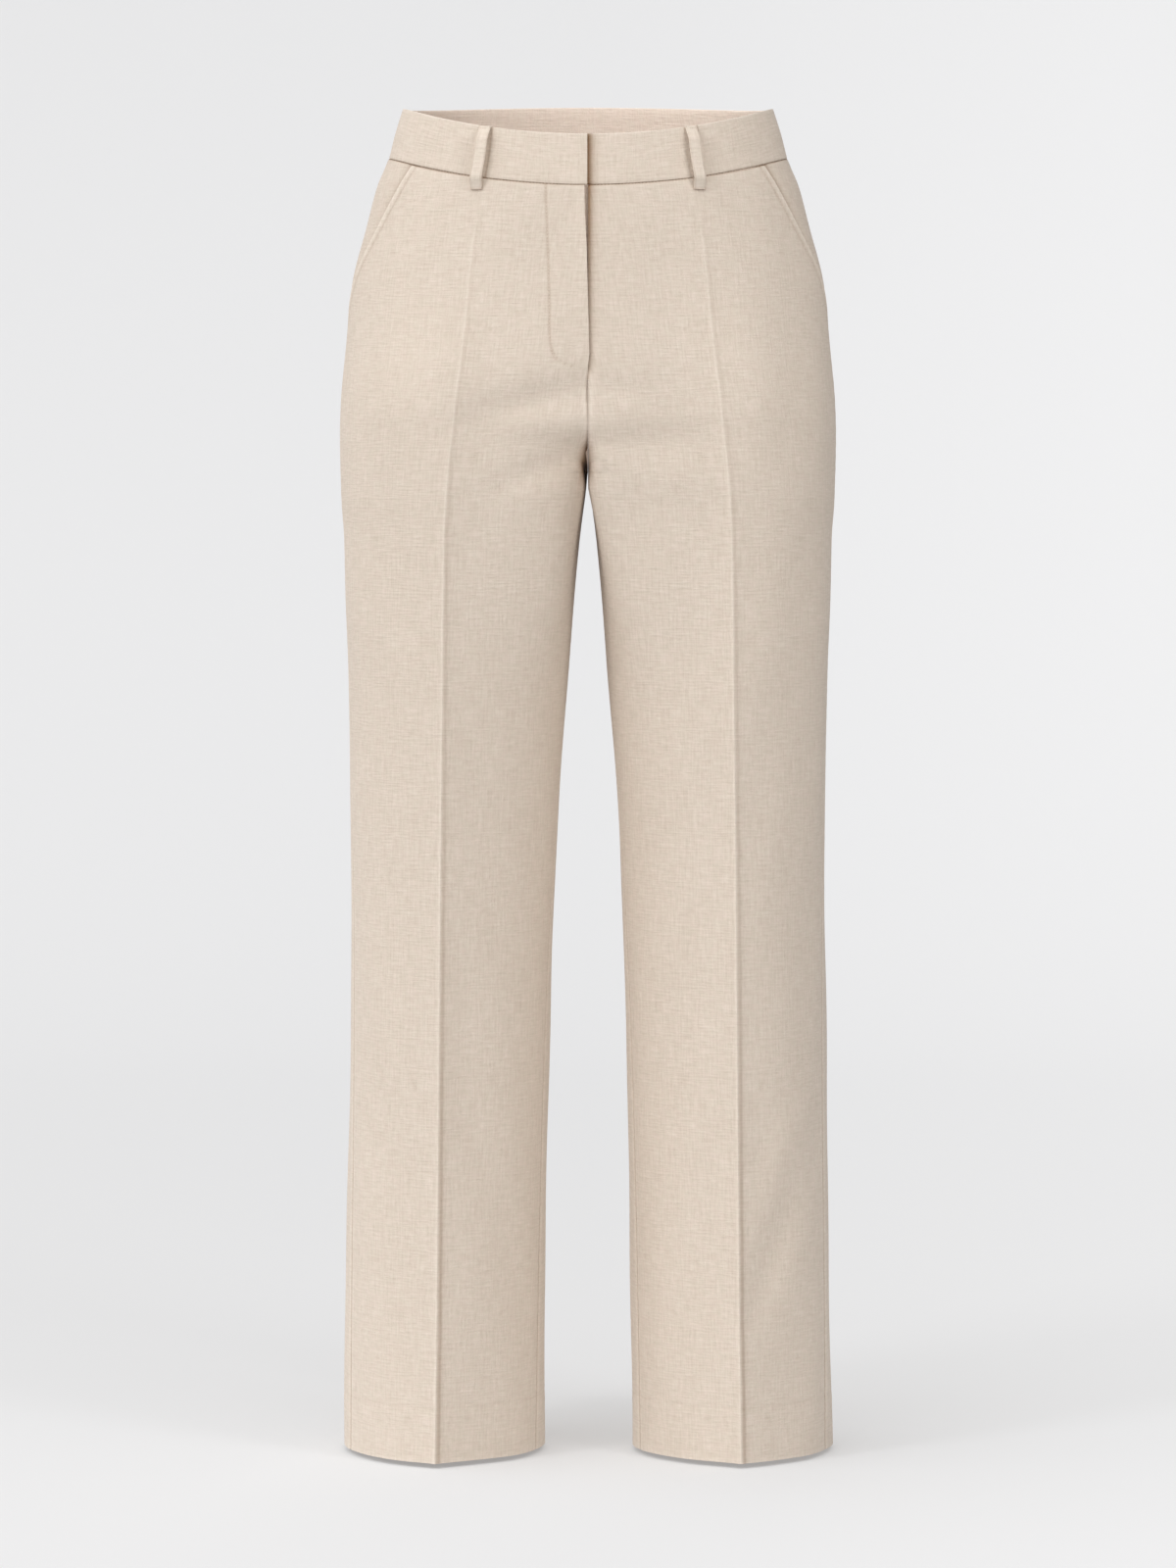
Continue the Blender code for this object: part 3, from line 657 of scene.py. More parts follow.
# --- making meshes ---
def linear(colour):
    """An sRGB hex colour as linear red, green, blue and 1."""
    parts = [int(colour[k : k + 2], 16) / 255 for k in (1, 3, 5)]
    return (*(part / 12.92 if part <= 0.04045 else ((part + 0.055) / 1.055) ** 2.4 for part in parts), 1.0)


def mesh_piece(name, points, faces, material, grain=None, painted_shade=None):
    mesh = bpy.data.meshes.new(name)
    mesh.from_pydata(np.reshape(points, (-1, 3)).tolist(), [], faces)
    mesh.materials.append(material)
    mesh.shade_smooth()
    if grain is not None:
        corners = np.empty(len(mesh.loops), int)
        mesh.loops.foreach_get("vertex_index", corners)
        layer = mesh.uv_layers.new(name="grain")
        layer.data.foreach_set("uv", np.reshape(grain, (-1, 2))[corners].astype(np.float32).ravel())
        # Painted shade (above 0) and painted highlight (below 0) for each point, which the material darkens
        # or pales the colour by.
        painted_layer = mesh.attributes.new("painted_shading", "FLOAT", "POINT")
        flat = np.zeros(len(mesh.vertices)) if painted_shade is None else np.ravel(painted_shade)
        painted_layer.data.foreach_set("value", flat.astype(np.float32))
    piece = bpy.data.objects.new(name, mesh)
    bpy.context.scene.collection.objects.link(piece)
    return piece


def grid_faces(rows, columns, flip):
    first = (np.arange(rows - 1)[:, None] * columns + np.arange(columns - 1)).ravel()
    corners = np.stack([first, first + 1, first + columns + 1, first + columns], axis=1)
    return (corners[:, ::-1] if flip else corners).tolist()


def grid_area(points):
    """The area of a patch in square metres."""
    across = points[:-1, 1:] - points[1:, :-1]
    down = points[1:, 1:] - points[:-1, :-1]
    return float(np.linalg.norm(np.cross(across, down), axis=-1).sum() / 2)


def cloth(name, points, grain, wall, material, facing_out, edge, painted_shade, layers=None, two_sided=False):
    """A patch of cloth with its thickness inwards and its edges rounded. points is rows by columns.

    layers is each row's share of the wall, and two-sided cloth shows inside the same linen painted paler, for
    the light that reaches in."""
    rows, columns = points.shape[:2]
    piece = mesh_piece(name, points, grid_faces(rows, columns, not facing_out), material, grain, painted_shade)
    solid = piece.modifiers.new("thickness", "SOLIDIFY")
    solid.thickness = wall * MM
    solid.offset = -1.0
    if two_sided:
        piece.data.materials.append(bpy.data.materials[PALE_INSIDE])
        solid.material_offset = 1
    if layers is not None:
        group = piece.vertex_groups.new(name="layers")
        for share in np.unique(layers):
            chosen = np.flatnonzero(layers == share)
            members = (chosen[:, None] * columns + np.arange(columns)).ravel()
            group.add(members.tolist(), float(share), "REPLACE")
        solid.vertex_group = group.name
    rounded = piece.modifiers.new("rounded_edge", "BEVEL")
    rounded.limit_method = "ANGLE"
    rounded.angle_limit = math.radians(55)
    rounded.width = edge * MM
    rounded.segments = 2
    piece.modifiers.new("flat_faces_lead", "WEIGHTED_NORMAL")
    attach(piece, "root")
    return piece


def sheet(node, points, width, length):
    """Hides the CAD part that a piece of cloth stands for, and works out the area and size of its cut."""
    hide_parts(node)
    area = grid_area(points)
    flat = (round(width * MM, 4), round(length * MM, 4))
    area = round(min(area, flat[0] * flat[1]), 5)


# --- leg panels ---
def column_recipe(edge, stitched, beside_crease, beside_line, counts):
    """Each column's shares of a row's start, crease, sewn line and end, and its offset from them.

    Columns lie closer together at the edges, the topstitching, the crease and the sewn line."""
    to_crease, to_line, to_end = counts
    fine = (*edge, *stitched)
    around_crease = (*(-o for o in beside_crease[::-1]), 0.0, *beside_crease)
    around_line = (*(-o for o in beside_line[::-1]), 0.0, *beside_line)
    recipe = [(1, 0, 0, 0, offset) for offset in fine]
    for share in np.linspace(0, 1, to_crease)[1:-1]:
        recipe.append((1 - share, share, 0, 0, fine[-1] * (1 - share) + around_crease[0] * share))
    recipe += [(0, 1, 0, 0, offset) for offset in around_crease]
    for share in np.linspace(0, 1, to_line)[1:-1]:
        recipe.append((0, 1 - share, share, 0, around_crease[-1] * (1 - share) + around_line[0] * share))
    recipe += [(0, 0, 1, 0, offset) for offset in around_line]
    for share in np.linspace(0, 1, to_end)[1:-1]:
        recipe.append((0, 0, 1 - share, share, around_line[-1] * (1 - share) - edge[-1] * share))
    recipe += [(0, 0, 0, 1, -offset) for offset in edge[::-1]]
    return np.array(recipe).T


EDGE_STEPS = (0.0, 0.5, 1.1, 2.2, 4.0)
STITCHED_STEPS = (5.2, POCKET_TOPSTITCH, 7.2)
CREASE_STEPS = (0.6, 1.3, 2.4, 4.2, 7.0)
PANEL_COLUMNS = {
    "front": column_recipe(EDGE_STEPS, STITCHED_STEPS, CREASE_STEPS, (0.8, 1.8), (27, 20, 14)),
    "back": column_recipe(EDGE_STEPS, STITCHED_STEPS, CREASE_STEPS, (0.9, 2.0), (27, 8, 22)),
}


def sewn_line(face, drop):
    """How far a panel's sewn line lies from the centre: the J stitch in front, a dart behind."""
    if face == "back":
        return dart_line((drop - BAND_HEIGHT) / DART_LENGTH)
    drops, from_centre = np.transpose(J_STITCH[:J_STRAIGHT_ROWS])
    return np.interp(drop, drops, from_centre)


def panel_lengths(side, face, drops):
    from_start, from_crease, from_line, from_end, offset = PANEL_COLUMNS[face]
    start, end = panel_edges(side, face, drops)
    line_at = whole_length(face, drops) - sewn_line(face, drops)
    lengths = from_start * start + from_crease * crease_length(face, drops) + offset
    return lengths + from_line * line_at + from_end * end


def lower_drops():
    """The rows of a leg panel below the pocket: closer together round the crotch and at the hem."""
    turn = CENTRE_TURN["front"]
    upper = np.arange(POCKET_END_DROP, turn, 1.9)
    turning = turn + (CROTCH_DROP - turn) * np.sin(np.linspace(0, np.pi / 2, 22))
    under = CROTCH_DROP + np.array((1.2, 2.6, 4.4, 6.6, 9.2))
    leg = np.arange(CROTCH_DROP + 12.6, HEM_FOLD_DROP - 7.5, 3.6)
    hem = HEM_FOLD_DROP + np.array((-6.2, -5.2, -4.5, -3.8, -2.8, -0.5))
    hem = np.concatenate([hem, np.arange(hem[-1] + 3.0, HEM_DROP - 3.0, 3.0)])
    return np.concatenate([upper, turning, under, leg, hem, [HEM_DROP - 1.6, HEM_DROP - 0.6, HEM_DROP]])


def pocket_rows(count):
    """How far down the pocket's depth rows lie: 0 at the waist seam, and 1 at the pocket's end."""
    top = np.array(EDGE_STEPS[:-1]) / POCKET_DEPTH
    return np.concatenate([top, np.linspace(EDGE_STEPS[-1] / POCKET_DEPTH, 1.0, count)])[:, None]


def panel_places(side, face):
    """The drops and lengths of a leg panel's points, and the drop of the waist seam over each column."""
    top = np.full(PANEL_COLUMNS[face].shape[1], BAND_HEIGHT + SEAM_EDGE)
    waist = top + waist_dip(face, panel_lengths(side, face, top) / whole_length(face, top))
    upper = waist + (POCKET_END_DROP - waist) * pocket_rows(38)[:-1]
    drops = np.concatenate([upper, np.repeat(lower_drops()[:, None], len(top), axis=1)])
    return drops, panel_lengths(side, face, drops), waist


def leg_grain(face, drops, lengths):
    """Where the weave lies on a panel: its threads run along the crease and across it."""
    return np.stack([lengths - crease_length(face, drops), -drops], axis=-1) * MM


def leg_panel(name, side, face, material):
    drops, lengths, waist = panel_places(side, face)
    out = cloth_out(side, face, drops, lengths, waist)
    if face == "back":
        out = out + dart(drops, lengths, waist)
    points = place(side, face, drops, lengths, out)
    grain = leg_grain(face, drops, lengths)
    painted_shade = painted_cloth_shade(side, face, drops, lengths, waist)
    layers = np.where(drops[:, 0] > HEM_FOLD_DROP, 1.0, 0.5)
    facing_out = (side > 0) == (face == "front")
    piece = cloth(f"linen_{name}", points, grain, 2 * CLOTH, material, facing_out, 0.35, painted_shade, layers, True)
    width = float((lengths[:, -1] - lengths[:, 0]).max())
    sheet(name, points, width, float(drops[-1].max() - drops[0].min()))


def dart_line(down):
    """How far a back dart lies from the centre, down its length."""
    return DART_FROM_CENTRE + DART_SLANT * np.clip(down, 0.0, 1.0)


def dart(drop, length, waist):
    """The sewn line of a back dart, and the soft swell at its point."""
    down = np.clip((drop - waist) / DART_LENGTH, 0.0, 1.0)
    from_line = whole_length("back", drop) - length - dart_line(down)
    fade = 1.0 - smooth_step(0.82, 1.0, down)
    swell = 0.35 * line((down - 1.0) * DART_LENGTH, 16.0) * line(from_line, 14.0)
    return fade * groove(from_line, DART_GROOVE) + swell


# --- pocket facings, fly shield and waistband ---
def pocket_facing(name, side, material):
    """The hip facing, from the side seam to the pocket mouth and on under the front."""
    down = pocket_rows(44)
    across = np.concatenate([[0.0, 0.012, 0.03], np.linspace(0.07, 1.0, 30), np.ones(4)])
    under = np.concatenate([np.zeros(33), np.linspace(0.0, FACING_UNDER, 5)[1:]])
    drops = BAND_HEIGHT + POCKET_DEPTH * down + 0.0 * across
    # The mouth slants, so a row's drop changes its width, which changes its drop: a few rounds settle it.
    for _ in range(12):
        edge = pocket_edge(drops)
        lengths = SEAM_EDGE + np.maximum(edge - SEAM_EDGE, 1.0) * across + under
        top = BAND_HEIGHT + SEAM_EDGE + waist_dip("front", lengths / whole_length("front", BAND_HEIGHT))
        drops = top + (POCKET_END_DROP - top) * down
    dip = np.maximum(edge - 12.0, 0.0)
    sink = -LAYER_STEP * smooth_step(dip, np.maximum(edge - 1.0, dip + 0.01), lengths)
    out = sink + groove(lengths) * 0.8 + groove(drops - drops[0], WAIST_GROOVE)
    points = place(side, "front", drops, lengths, out)
    grain = leg_grain("front", drops, lengths)
    # Painted shadow along the pocket mouth and a little over the whole facing, and painted shade along its
    # seams.
    mouth_painted_shadow = (0.65 if side < 0 else 1.0) * line(edge - lengths, 3.6)
    painted_shade = 0.05 + mouth_painted_shadow + painted_line("waist_seam", drops - drops[0]) + painted_line("facing_side", lengths)
    piece = cloth(f"linen_{name}", points, grain, CLOTH, material, side > 0, 0.2, painted_shade)
    sheet(name, points, POCKET_TOP_WIDTH + FACING_UNDER, POCKET_DEPTH)


def fly_shield(name, material):
    """The underlap behind the fly, across the centre line."""
    down = np.linspace(0.0, 1.0, 50)[:, None]
    top = float(BAND_HEIGHT + 0.3 + waist_dip("front", np.array(1.0)))
    drops = top + (SHIELD_END_DROP - top) * down + np.zeros((1, 12))
    lengths = whole_length("front", drops) - np.linspace(-SHIELD_LEFT, SHIELD_RIGHT, 12)
    points = place(-1, "front", drops, lengths, SHIELD_SINK)
    grain = leg_grain("front", drops, lengths)
    # The shield is painted darker all over, as the shadow it lies in behind the fly.
    shield_painted_shadow = np.full(lengths.shape, 0.40)
    piece = cloth(f"linen_{name}", points, grain, CLOTH, material, True, 0.2, shield_painted_shadow)
    sheet(name, points, SHIELD_LEFT + SHIELD_RIGHT, SHIELD_END_DROP - top)


BAND_EDGE_STEPS = (0.0, 0.4, 1.0, 2.2, 4.0)


def band_rows():
    """How far down the waistband its rows lie: 0 at the top edge, 1 at the waist seam."""
    edge = np.array(BAND_EDGE_STEPS) / BAND_HEIGHT
    middle = np.linspace(edge[-1], 1 - edge[-1], 13)[1:-1]
    return np.concatenate([edge, middle, 1.0 - edge[::-1]])[:, None]


def waistband(name, side, face, columns, out_at, facing_out, material):
    """A waistband piece. columns: each column's share of a run's whole length, and what is added to it."""
    shares, more = columns
    top = shares * whole_length(face, BAND_HEIGHT) + more
    share = top / whole_length(face, BAND_HEIGHT)
    down = band_rows()
    drops = waist_dip(face, share) + down * (BAND_HEIGHT - SEAM_EDGE)
    whole = whole_length(face, drops)
    lengths = shares * whole + more
    from_top, from_seam = down * BAND_HEIGHT, (1.0 - down) * BAND_HEIGHT
    out = out_at(whole - lengths) + groove(from_seam, BAND_GROOVE) + 0.8 * pucker(side, lengths, from_seam)
    out = out + 0.18 * np.sin(lengths / 21.0 + side) * smooth_step(0.0, 1.0, from_top / BAND_HEIGHT)
    side_seam = groove(lengths - SEAM_EDGE, BAND_SIDE_GROOVE)
    if face == "back":
        side_seam = side_seam + groove(2 * whole - lengths - SEAM_EDGE, BAND_SIDE_GROOVE)
    points = place(side, face, drops, lengths, out + side_seam)
    grain = np.stack([-from_top + 0.0 * top, top + 0.0 * down], axis=-1) * MM
    # Painted shade along the waist seam and side seam, and a painted highlight along the top edge.
    painted_shade = painted_line("band_seam", from_seam) + painted_line("band_top_highlight", from_top)
    painted_shade = painted_shade + painted_line("side_seam", lengths - SEAM_EDGE)
    if face == "front":
        # Painted shadows that the belt loop casts on the band, and beside the lap on the wearer's left.
        from_loop = side * (FRONT_LOOP_SHARE * whole - lengths)
        painted_shade = painted_shade + painted_line("loop_shadow", from_loop - 5.5) + painted_line("loop_far_shadow", from_loop + 5.2)
        if side > 0:
            painted_shade = painted_shade + painted_lap_shadow(PAINTED_BAND_LAP_SHADOW, whole - lengths)
    piece = cloth(f"linen_{name}", points, grain, BAND_CLOTH, material, facing_out, 0.7, painted_shade, None, True)
    width = float(lengths[-1, -1] - lengths[-1, 0])
    sheet(name, points, width, BAND_HEIGHT + 0.3)


SIDE_STEPS = SEAM_EDGE + np.array(EDGE_STEPS)
BY_LOOP_STEPS = (4.2, 4.9, 5.6, 6.4, 7.2, 8.5)


def waistband_front(name, side, material):
    """A front of the waistband. The wearer's right ends in the lap, and the left goes on under it."""
    tail = (-24.0, -20.0, -16.0, -12.0, -8.0, -5.0, -3.0, -1.4, BAND_LAP_EDGE)
    if side > 0:
        tail = (-22.0, -18.0, -14.0, -10.5, -8.0, -6.0, -4.0, -2.0, 0.0, 6.0, 11.0, 16.0, BAND_UNDERLAP)
    between = np.linspace(0.0, 1.0, 44)[1:]
    by_loop = np.array((*(-step for step in BY_LOOP_STEPS[::-1]), -2.5, 0.0, 2.5, *BY_LOOP_STEPS))
    between = between[np.abs(between - 0.68) > 0.065]
    loop_shares = np.full(len(by_loop), FRONT_LOOP_SHARE)
    shares = np.concatenate([0.0 * SIDE_STEPS, between, loop_shares, np.ones(len(tail))])
    to_tail = SIDE_STEPS[-1] * (1 - between) - BAND_LAP_WIDTH * between
    more = np.concatenate([SIDE_STEPS, to_tail, by_loop, tail])
    order = np.argsort(shares * whole_length("front", BAND_HEIGHT) + more)
    shares, more = shares[order], more[order]

    def out_at(to_centre):
        lift = BAND_LIFT * (1.0 - smooth_step(0.0, BAND_LAP_WIDTH, np.abs(to_centre)))
        if side < 0:
            return lift - BAND_STEP
        under = lift - BAND_CLOTH - 0.4
        return under * (1.0 - smooth_step(1.0, 12.0, to_centre)) - BAND_STEP

    waistband(name, side, "front", (shares, more), out_at, side > 0, material)


def waistband_back(name, material):
    """The back of the waistband, in one from side seam to side seam."""
    between = np.linspace(0.0, 1.0, 48)[1:]
    shares = np.concatenate([0.0 * SIDE_STEPS, between])
    more = np.concatenate([SIDE_STEPS, SIDE_STEPS[-1] * (1 - between)])
    columns = (np.concatenate([shares, 2.0 - shares[-2::-1]]), np.concatenate([more, -more[-2::-1]]))

    def out_at(to_centre):
        return -BAND_STEP + 0.0 * to_centre

    waistband(name, +1, "back", columns, out_at, False, material)


LOOP_ROWS = (0.0, 0.012, 0.03)
LOOP_HALF = (0.2, 0.33, 0.40, 0.46, 0.5)


def loop_drops(face, share, down):
    """The drops down a belt loop: 0 at the waistband's top edge, 1 at its end below the waist seam."""
    return waist_dip(face, np.array(share)) + down * (BAND_HEIGHT + LOOP_BELOW_SEAM)


def belt_loop(name, face, side, share, material):
    """A folded strip sewn down at the waistband's top edge and below the waist seam."""
    down = np.concatenate([LOOP_ROWS, np.linspace(0.06, 0.94, 26), (0.97, 0.988, 1.0)])[:, None]
    width = LOOP_WIDTH * np.array((*(-part for part in LOOP_HALF[::-1]), 0.0, *LOOP_HALF))
    drops = loop_drops(face, share, down) + 0.0 * width
    seat = (1.0 - down) * (0.3 - BAND_STEP) + down * 0.3
    bow = LOOP_GAP * smooth_step(0.0, LOOP_BEND, np.minimum(down, 1.0 - down))
    crown = -0.35 * (np.abs(width) / LOOP_WIDTH * 2) ** 4
    middle = share * whole_length(face, drops)
    points = place(side, face, drops, middle + width, seat + bow + LOOP_CLOTH + crown)
    grain = np.stack([width + 7 * share + 0.0 * drops, -drops], axis=-1) * MM
    # Painted shade along the loop's folded edges and its bottom end, and the rest painted a little paler.
    from_fold = np.abs(width) - LOOP_WIDTH / 2 + 0.7
    painted_shade = painted_line("loop_fold", from_fold) + painted_line("loop_end", 1.0 - down) - 0.10
    facing_out = (side > 0) == (face == "front")
    piece = cloth(f"linen_{name}", points, grain, LOOP_CLOTH, material, facing_out, 0.5, painted_shade)
    sheet(name, points, LOOP_CUT_WIDTH, BAND_HEIGHT + LOOP_BELOW_SEAM + LOOP_GAP_LENGTH)


# --- sewing ---
# How far apart the stitches of each kind lie, how long and wide they are, and how unevenly they fall.
STITCHES = {
    "topstitch": (2.7, 2.2, 0.5, 0.12),
    "ditch": (2.6, 1.7, 0.4, 0.12),
    "hem_pick": (6.4, 1.3, 0.34, 0.5),
    "tack": (1.9, 1.6, 0.42, 0.05),
}
# The rings of a stitch: each one's place along it and its size, as shares.
STITCH_RINGS = ((-0.30, 0.86), (0.0, 1.0), (0.30, 0.86))
STITCH_SIDES = 6
STITCH_DIP = 0.25


def stitches(name, kind, side, face, drops, lengths, out, material):
    """One row of stitches along a line on the cloth, each a short thread that dips in at both ends."""
    pitch, long, wide, uneven = STITCHES[kind]
    seam = place(side, face, drops, lengths, out)
    above = place(side, face, drops, lengths, out + 1.0)
    along = lengths_along(seam) / MM
    rng = random.Random(name)

    def read(values, where):
        return np.array([np.interp(where, along, values[:, axis]) for axis in range(3)])

    points, faces = [], []
    for k in range(int((along[-1] - long) / pitch) + 1):
        middle = long / 2 + k * pitch + rng.uniform(-uneven, uneven)
        tilt = rng.uniform(-0.09, 0.09)
        here = read(seam, middle)
        ahead = read(seam, middle + 0.8) - read(seam, middle - 0.8)
        ahead /= np.linalg.norm(ahead)
        lift = read(above, middle) - here
        lift = lift - ahead * (lift @ ahead)
        lift /= np.linalg.norm(lift)
        beside = np.cross(ahead, lift)
        ahead = ahead + tilt * beside
        base = len(points)
        tip = base + 1 + STITCH_SIDES * len(STITCH_RINGS)
        points.append(here - ahead * long * MM / 2 - lift * STITCH_DIP * MM)
        for station, size in STITCH_RINGS:
            for corner in range(STITCH_SIDES):
                angle = math.tau * corner / STITCH_SIDES
                around = beside * math.cos(angle) + lift * (math.sin(angle) * 0.7 + 0.25)
                points.append(here + ahead * station * long * MM + around * size * wide / 2 * MM)
        points.append(here + ahead * long * MM / 2 - lift * STITCH_DIP * MM)
        for corner in range(STITCH_SIDES):
            after = (corner + 1) % STITCH_SIDES
            faces.append((base, base + 1 + after, base + 1 + corner))
            for ring in range(base + 1, tip - STITCH_SIDES, STITCH_SIDES):
                farther = ring + STITCH_SIDES
                faces.append((ring + corner, ring + after, farther + after, farther + corner))
            faces.append((tip, tip - STITCH_SIDES + corner, tip - STITCH_SIDES + after))
    piece = mesh_piece(name, points, faces, material)
    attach(piece, "root")


def panel_out(side, drops, lengths):
    """How far a front panel's cloth stands out along a line, for what is sewn on it."""
    waist = BAND_HEIGHT + waist_dip("front", lengths / whole_length("front", drops))
    return cloth_out(side, "front", drops, lengths, waist)


def sew_pocket(label, side, thread):
    drops = np.linspace(POCKET_TOP_DROP + 8.0, POCKET_END_DROP - 4.0, 80)
    lengths = pocket_edge(drops) + POCKET_TOPSTITCH
    out = panel_out(side, drops, lengths)
    stitches(f"pocket_stitches_{label}", "topstitch", side, "front", drops, lengths, out, thread)


def sew_waist(label, side, face, dark_thread):
    """Stitches sunk in the waist seam, from the side seam to the centre or to the front lap."""
    share = np.linspace(0.01, 1.0, 160)[: -3 if face == "front" else None]
    drops = BAND_HEIGHT + waist_dip(face, share)
    lengths = share * whole_length(face, drops)
    stitches(f"ditch_stitches_{face}_{label}", "ditch", side, face, drops, lengths, -0.62, dark_thread)


def sew_hem(label, side, face, thread):
    lengths = np.linspace(3.0, whole_length(face, HEM_DROP) - 3.0, 200)
    drops = np.full(lengths.shape, HEM_PICKS_DROP)
    stitches(f"hem_picks_{face}_{label}", "hem_pick", side, face, drops, lengths, 0.02, thread)


def sew_fly(thread):
    """The J stitch that holds the fly's facing."""
    table = np.array(J_STITCH)
    along = lengths_along(table) / lengths_along(table)[-1]
    steps = np.linspace(0.0, 1.0, 120)
    drops, from_centre = np.interp(steps, along, table[:, 0]), np.interp(steps, along, table[:, 1])
    lengths = whole_length("front", drops) - from_centre
    out = panel_out(-1, drops, lengths)
    stitches("fly_stitches", "topstitch", -1, "front", drops, lengths, out, thread)


def sew_loop(name, face, side, share, thread):
    """The tacks that hold a belt loop at both ends, straight across it."""
    for end, down, seat in (("top", 0.035, 0.45), ("bottom", 0.955, 0.75)):
        drops = loop_drops(face, share, down) + np.zeros(20)
        lengths = share * whole_length(face, drops) + np.linspace(-LOOP_TACK, LOOP_TACK, 20)
        stitches(f"{name}_{end}_tack", "tack", side, face, drops, lengths, seat + LOOP_CLOTH, thread)


def sew(thread, dark_thread):
    for label, side in (("left", +1), ("right", -1)):
        sew_pocket(label, side, thread)
        for face in ("front", "back"):
            sew_waist(label, side, face, dark_thread)
            sew_hem(label, side, face, thread)
    sew_fly(thread)
    for row in BELT_LOOPS:
        sew_loop(*row, thread)


# --- materials ---
# How much red, green and blue the cloth's colour loses where its painted shade is 1: painted shade turns it
# brown, and painted highlight (below 0) makes it paler.
PAINTED_SHADE_LOSS = (0.50, 0.60, 0.68)
# The linen inside the garment, painted paler for the light that reaches in.
PALE_INSIDE = "linen_inside_painted_pale"
# The streaks of a linen weave: mm across and down the grain, and the noise's detail and roughness.
WEAVE = {
    "warp": (1.4, 20.0, 1.0, 0.6),
    "weft": (16.0, 1.4, 1.0, 0.6),
    "melange": (3.0, 3.8, 2.0, 0.6),
    "cloud": (46.0, 70.0, 1.0, 0.5),
    "tint": (9.0, 7.0, 1.0, 0.5),
}
WEAVE_COLOUR = {"warp": 0.34, "weft": 0.34, "melange": 0.24, "cloud": 0.08}
WEAVE_HEIGHT = {"warp": 0.5, "weft": 0.5, "melange": 0.4}
TINTS = ((0.35, "#fdfbf9"), (0.65, "#fcfcf9"))


def node(tree, kind, inputs=None, **settings):
    """Adds a shader node. settings are its own properties, and inputs its sockets' values or links."""
    made = tree.nodes.new("ShaderNode" + kind)
    for key, value in settings.items():
        setattr(made, key, value)
    for key, value in (inputs or {}).items():
        if isinstance(value, bpy.types.NodeSocket):
            tree.links.new(value, made.inputs[key])
        else:
            made.inputs[key].default_value = value
    return made


def woven_linen(name, pale, middle, deep):
    """Plain-woven linen look, of flax-coloured yarns spun uneven: matt and dry, with slubs both ways.

    The real threads lie about 0.6 mm apart, too fine to show, so they are drawn 1.5 mm apart."""
    material = bpy.data.materials.new(name)
    material.use_nodes = True
    tree = material.node_tree
    shader = tree.nodes["Principled BSDF"]
    grain = node(tree, "UVMap", uv_map="grain").outputs["UV"]
    mm = node(tree, "VectorMath", {0: grain, "Scale": 1 / MM}, operation="SCALE").outputs[0]
    streaks = {}
    for yarn, (across, down, detail, rough) in WEAVE.items():
        sizes = {0: mm, 1: (1 / across, 1 / down, 1.0)}
        scaled = node(tree, "VectorMath", sizes, operation="MULTIPLY").outputs[0]
        noise = {"Vector": scaled, "Scale": 1.0, "Detail": detail, "Roughness": rough}
        streaks[yarn] = node(tree, "TexNoise", noise, noise_dimensions="2D").outputs["Fac"]

    def blend(shares):
        total = 0.0
        for yarn, share in shares.items():
            sum_of = {0: streaks[yarn], 1: share, 2: total}
            total = node(tree, "Math", sum_of, operation="MULTIPLY_ADD").outputs[0]
        return total

    yarns = node(tree, "ValToRGB", {"Fac": blend(WEAVE_COLOUR)})
    stops = yarns.color_ramp.elements
    stops[0].position, stops[0].color = 0.25, linear(deep)
    stops[1].position, stops[1].color = 0.75, linear(pale)
    stops.new(0.5).color = linear(middle)
    tint = node(tree, "ValToRGB", {"Fac": streaks["tint"]})
    for stop, (position, colour) in zip(tint.color_ramp.elements, TINTS):
        stop.position, stop.color = position, linear(colour)
    both = {"Factor": 1.0, "A": yarns.outputs["Color"], "B": tint.outputs["Color"]}
    dyed = node(tree, "Mix", both, data_type="RGBA", blend_type="MULTIPLY").outputs["Result"]
    # The colour is darkened by each point's painted shade and made paler by its painted highlight.
    painted_amount = node(tree, "Attribute", attribute_name="painted_shading").outputs["Fac"]
    lost = node(tree, "VectorMath", {0: PAINTED_SHADE_LOSS, "Scale": painted_amount}, operation="SCALE").outputs[0]
    kept = node(tree, "VectorMath", {0: (1.0, 1.0, 1.0), 1: lost}, operation="SUBTRACT").outputs[0]
    shaded = node(tree, "VectorMath", {0: dyed, 1: kept}, operation="MULTIPLY").outputs[0]
    tree.links.new(shaded, shader.inputs["Base Color"])
    bump = node(tree, "Bump", {"Height": blend(WEAVE_HEIGHT), "Strength": 0.55, "Distance": 0.0011})
    tree.links.new(bump.outputs["Normal"], shader.inputs["Normal"])
    shader.inputs["Roughness"].default_value = 0.88
    shader.inputs["IOR"].default_value = 1.46
    shader.inputs["Specular IOR Level"].default_value = 0.25
    shader.inputs["Sheen Weight"].default_value = 0.12
    shader.inputs["Sheen Roughness"].default_value = 0.6
    return material


def spun_thread(name, colour):
    """Polyester sewing thread, dyed to match: a little smoother and deeper than the cloth."""
    material = bpy.data.materials.new(name)
    material.use_nodes = True
    tree = material.node_tree
    shader = tree.nodes["Principled BSDF"]
    place_in = node(tree, "TexCoord").outputs["Object"]
    twist = node(tree, "TexNoise", {"Vector": place_in, "Scale": 900.0, "Detail": 1.0})
    ramp = node(tree, "ValToRGB", {"Fac": twist.outputs["Fac"]})
    base = linear(colour)
    ramp.color_ramp.elements[0].color = (*(0.82 * part for part in base[:3]), 1.0)
    ramp.color_ramp.elements[1].color = base
    tree.links.new(ramp.outputs["Color"], shader.inputs["Base Color"])
    shader.inputs["Roughness"].default_value = 0.62
    shader.inputs["Specular IOR Level"].default_value = 0.35
    return material


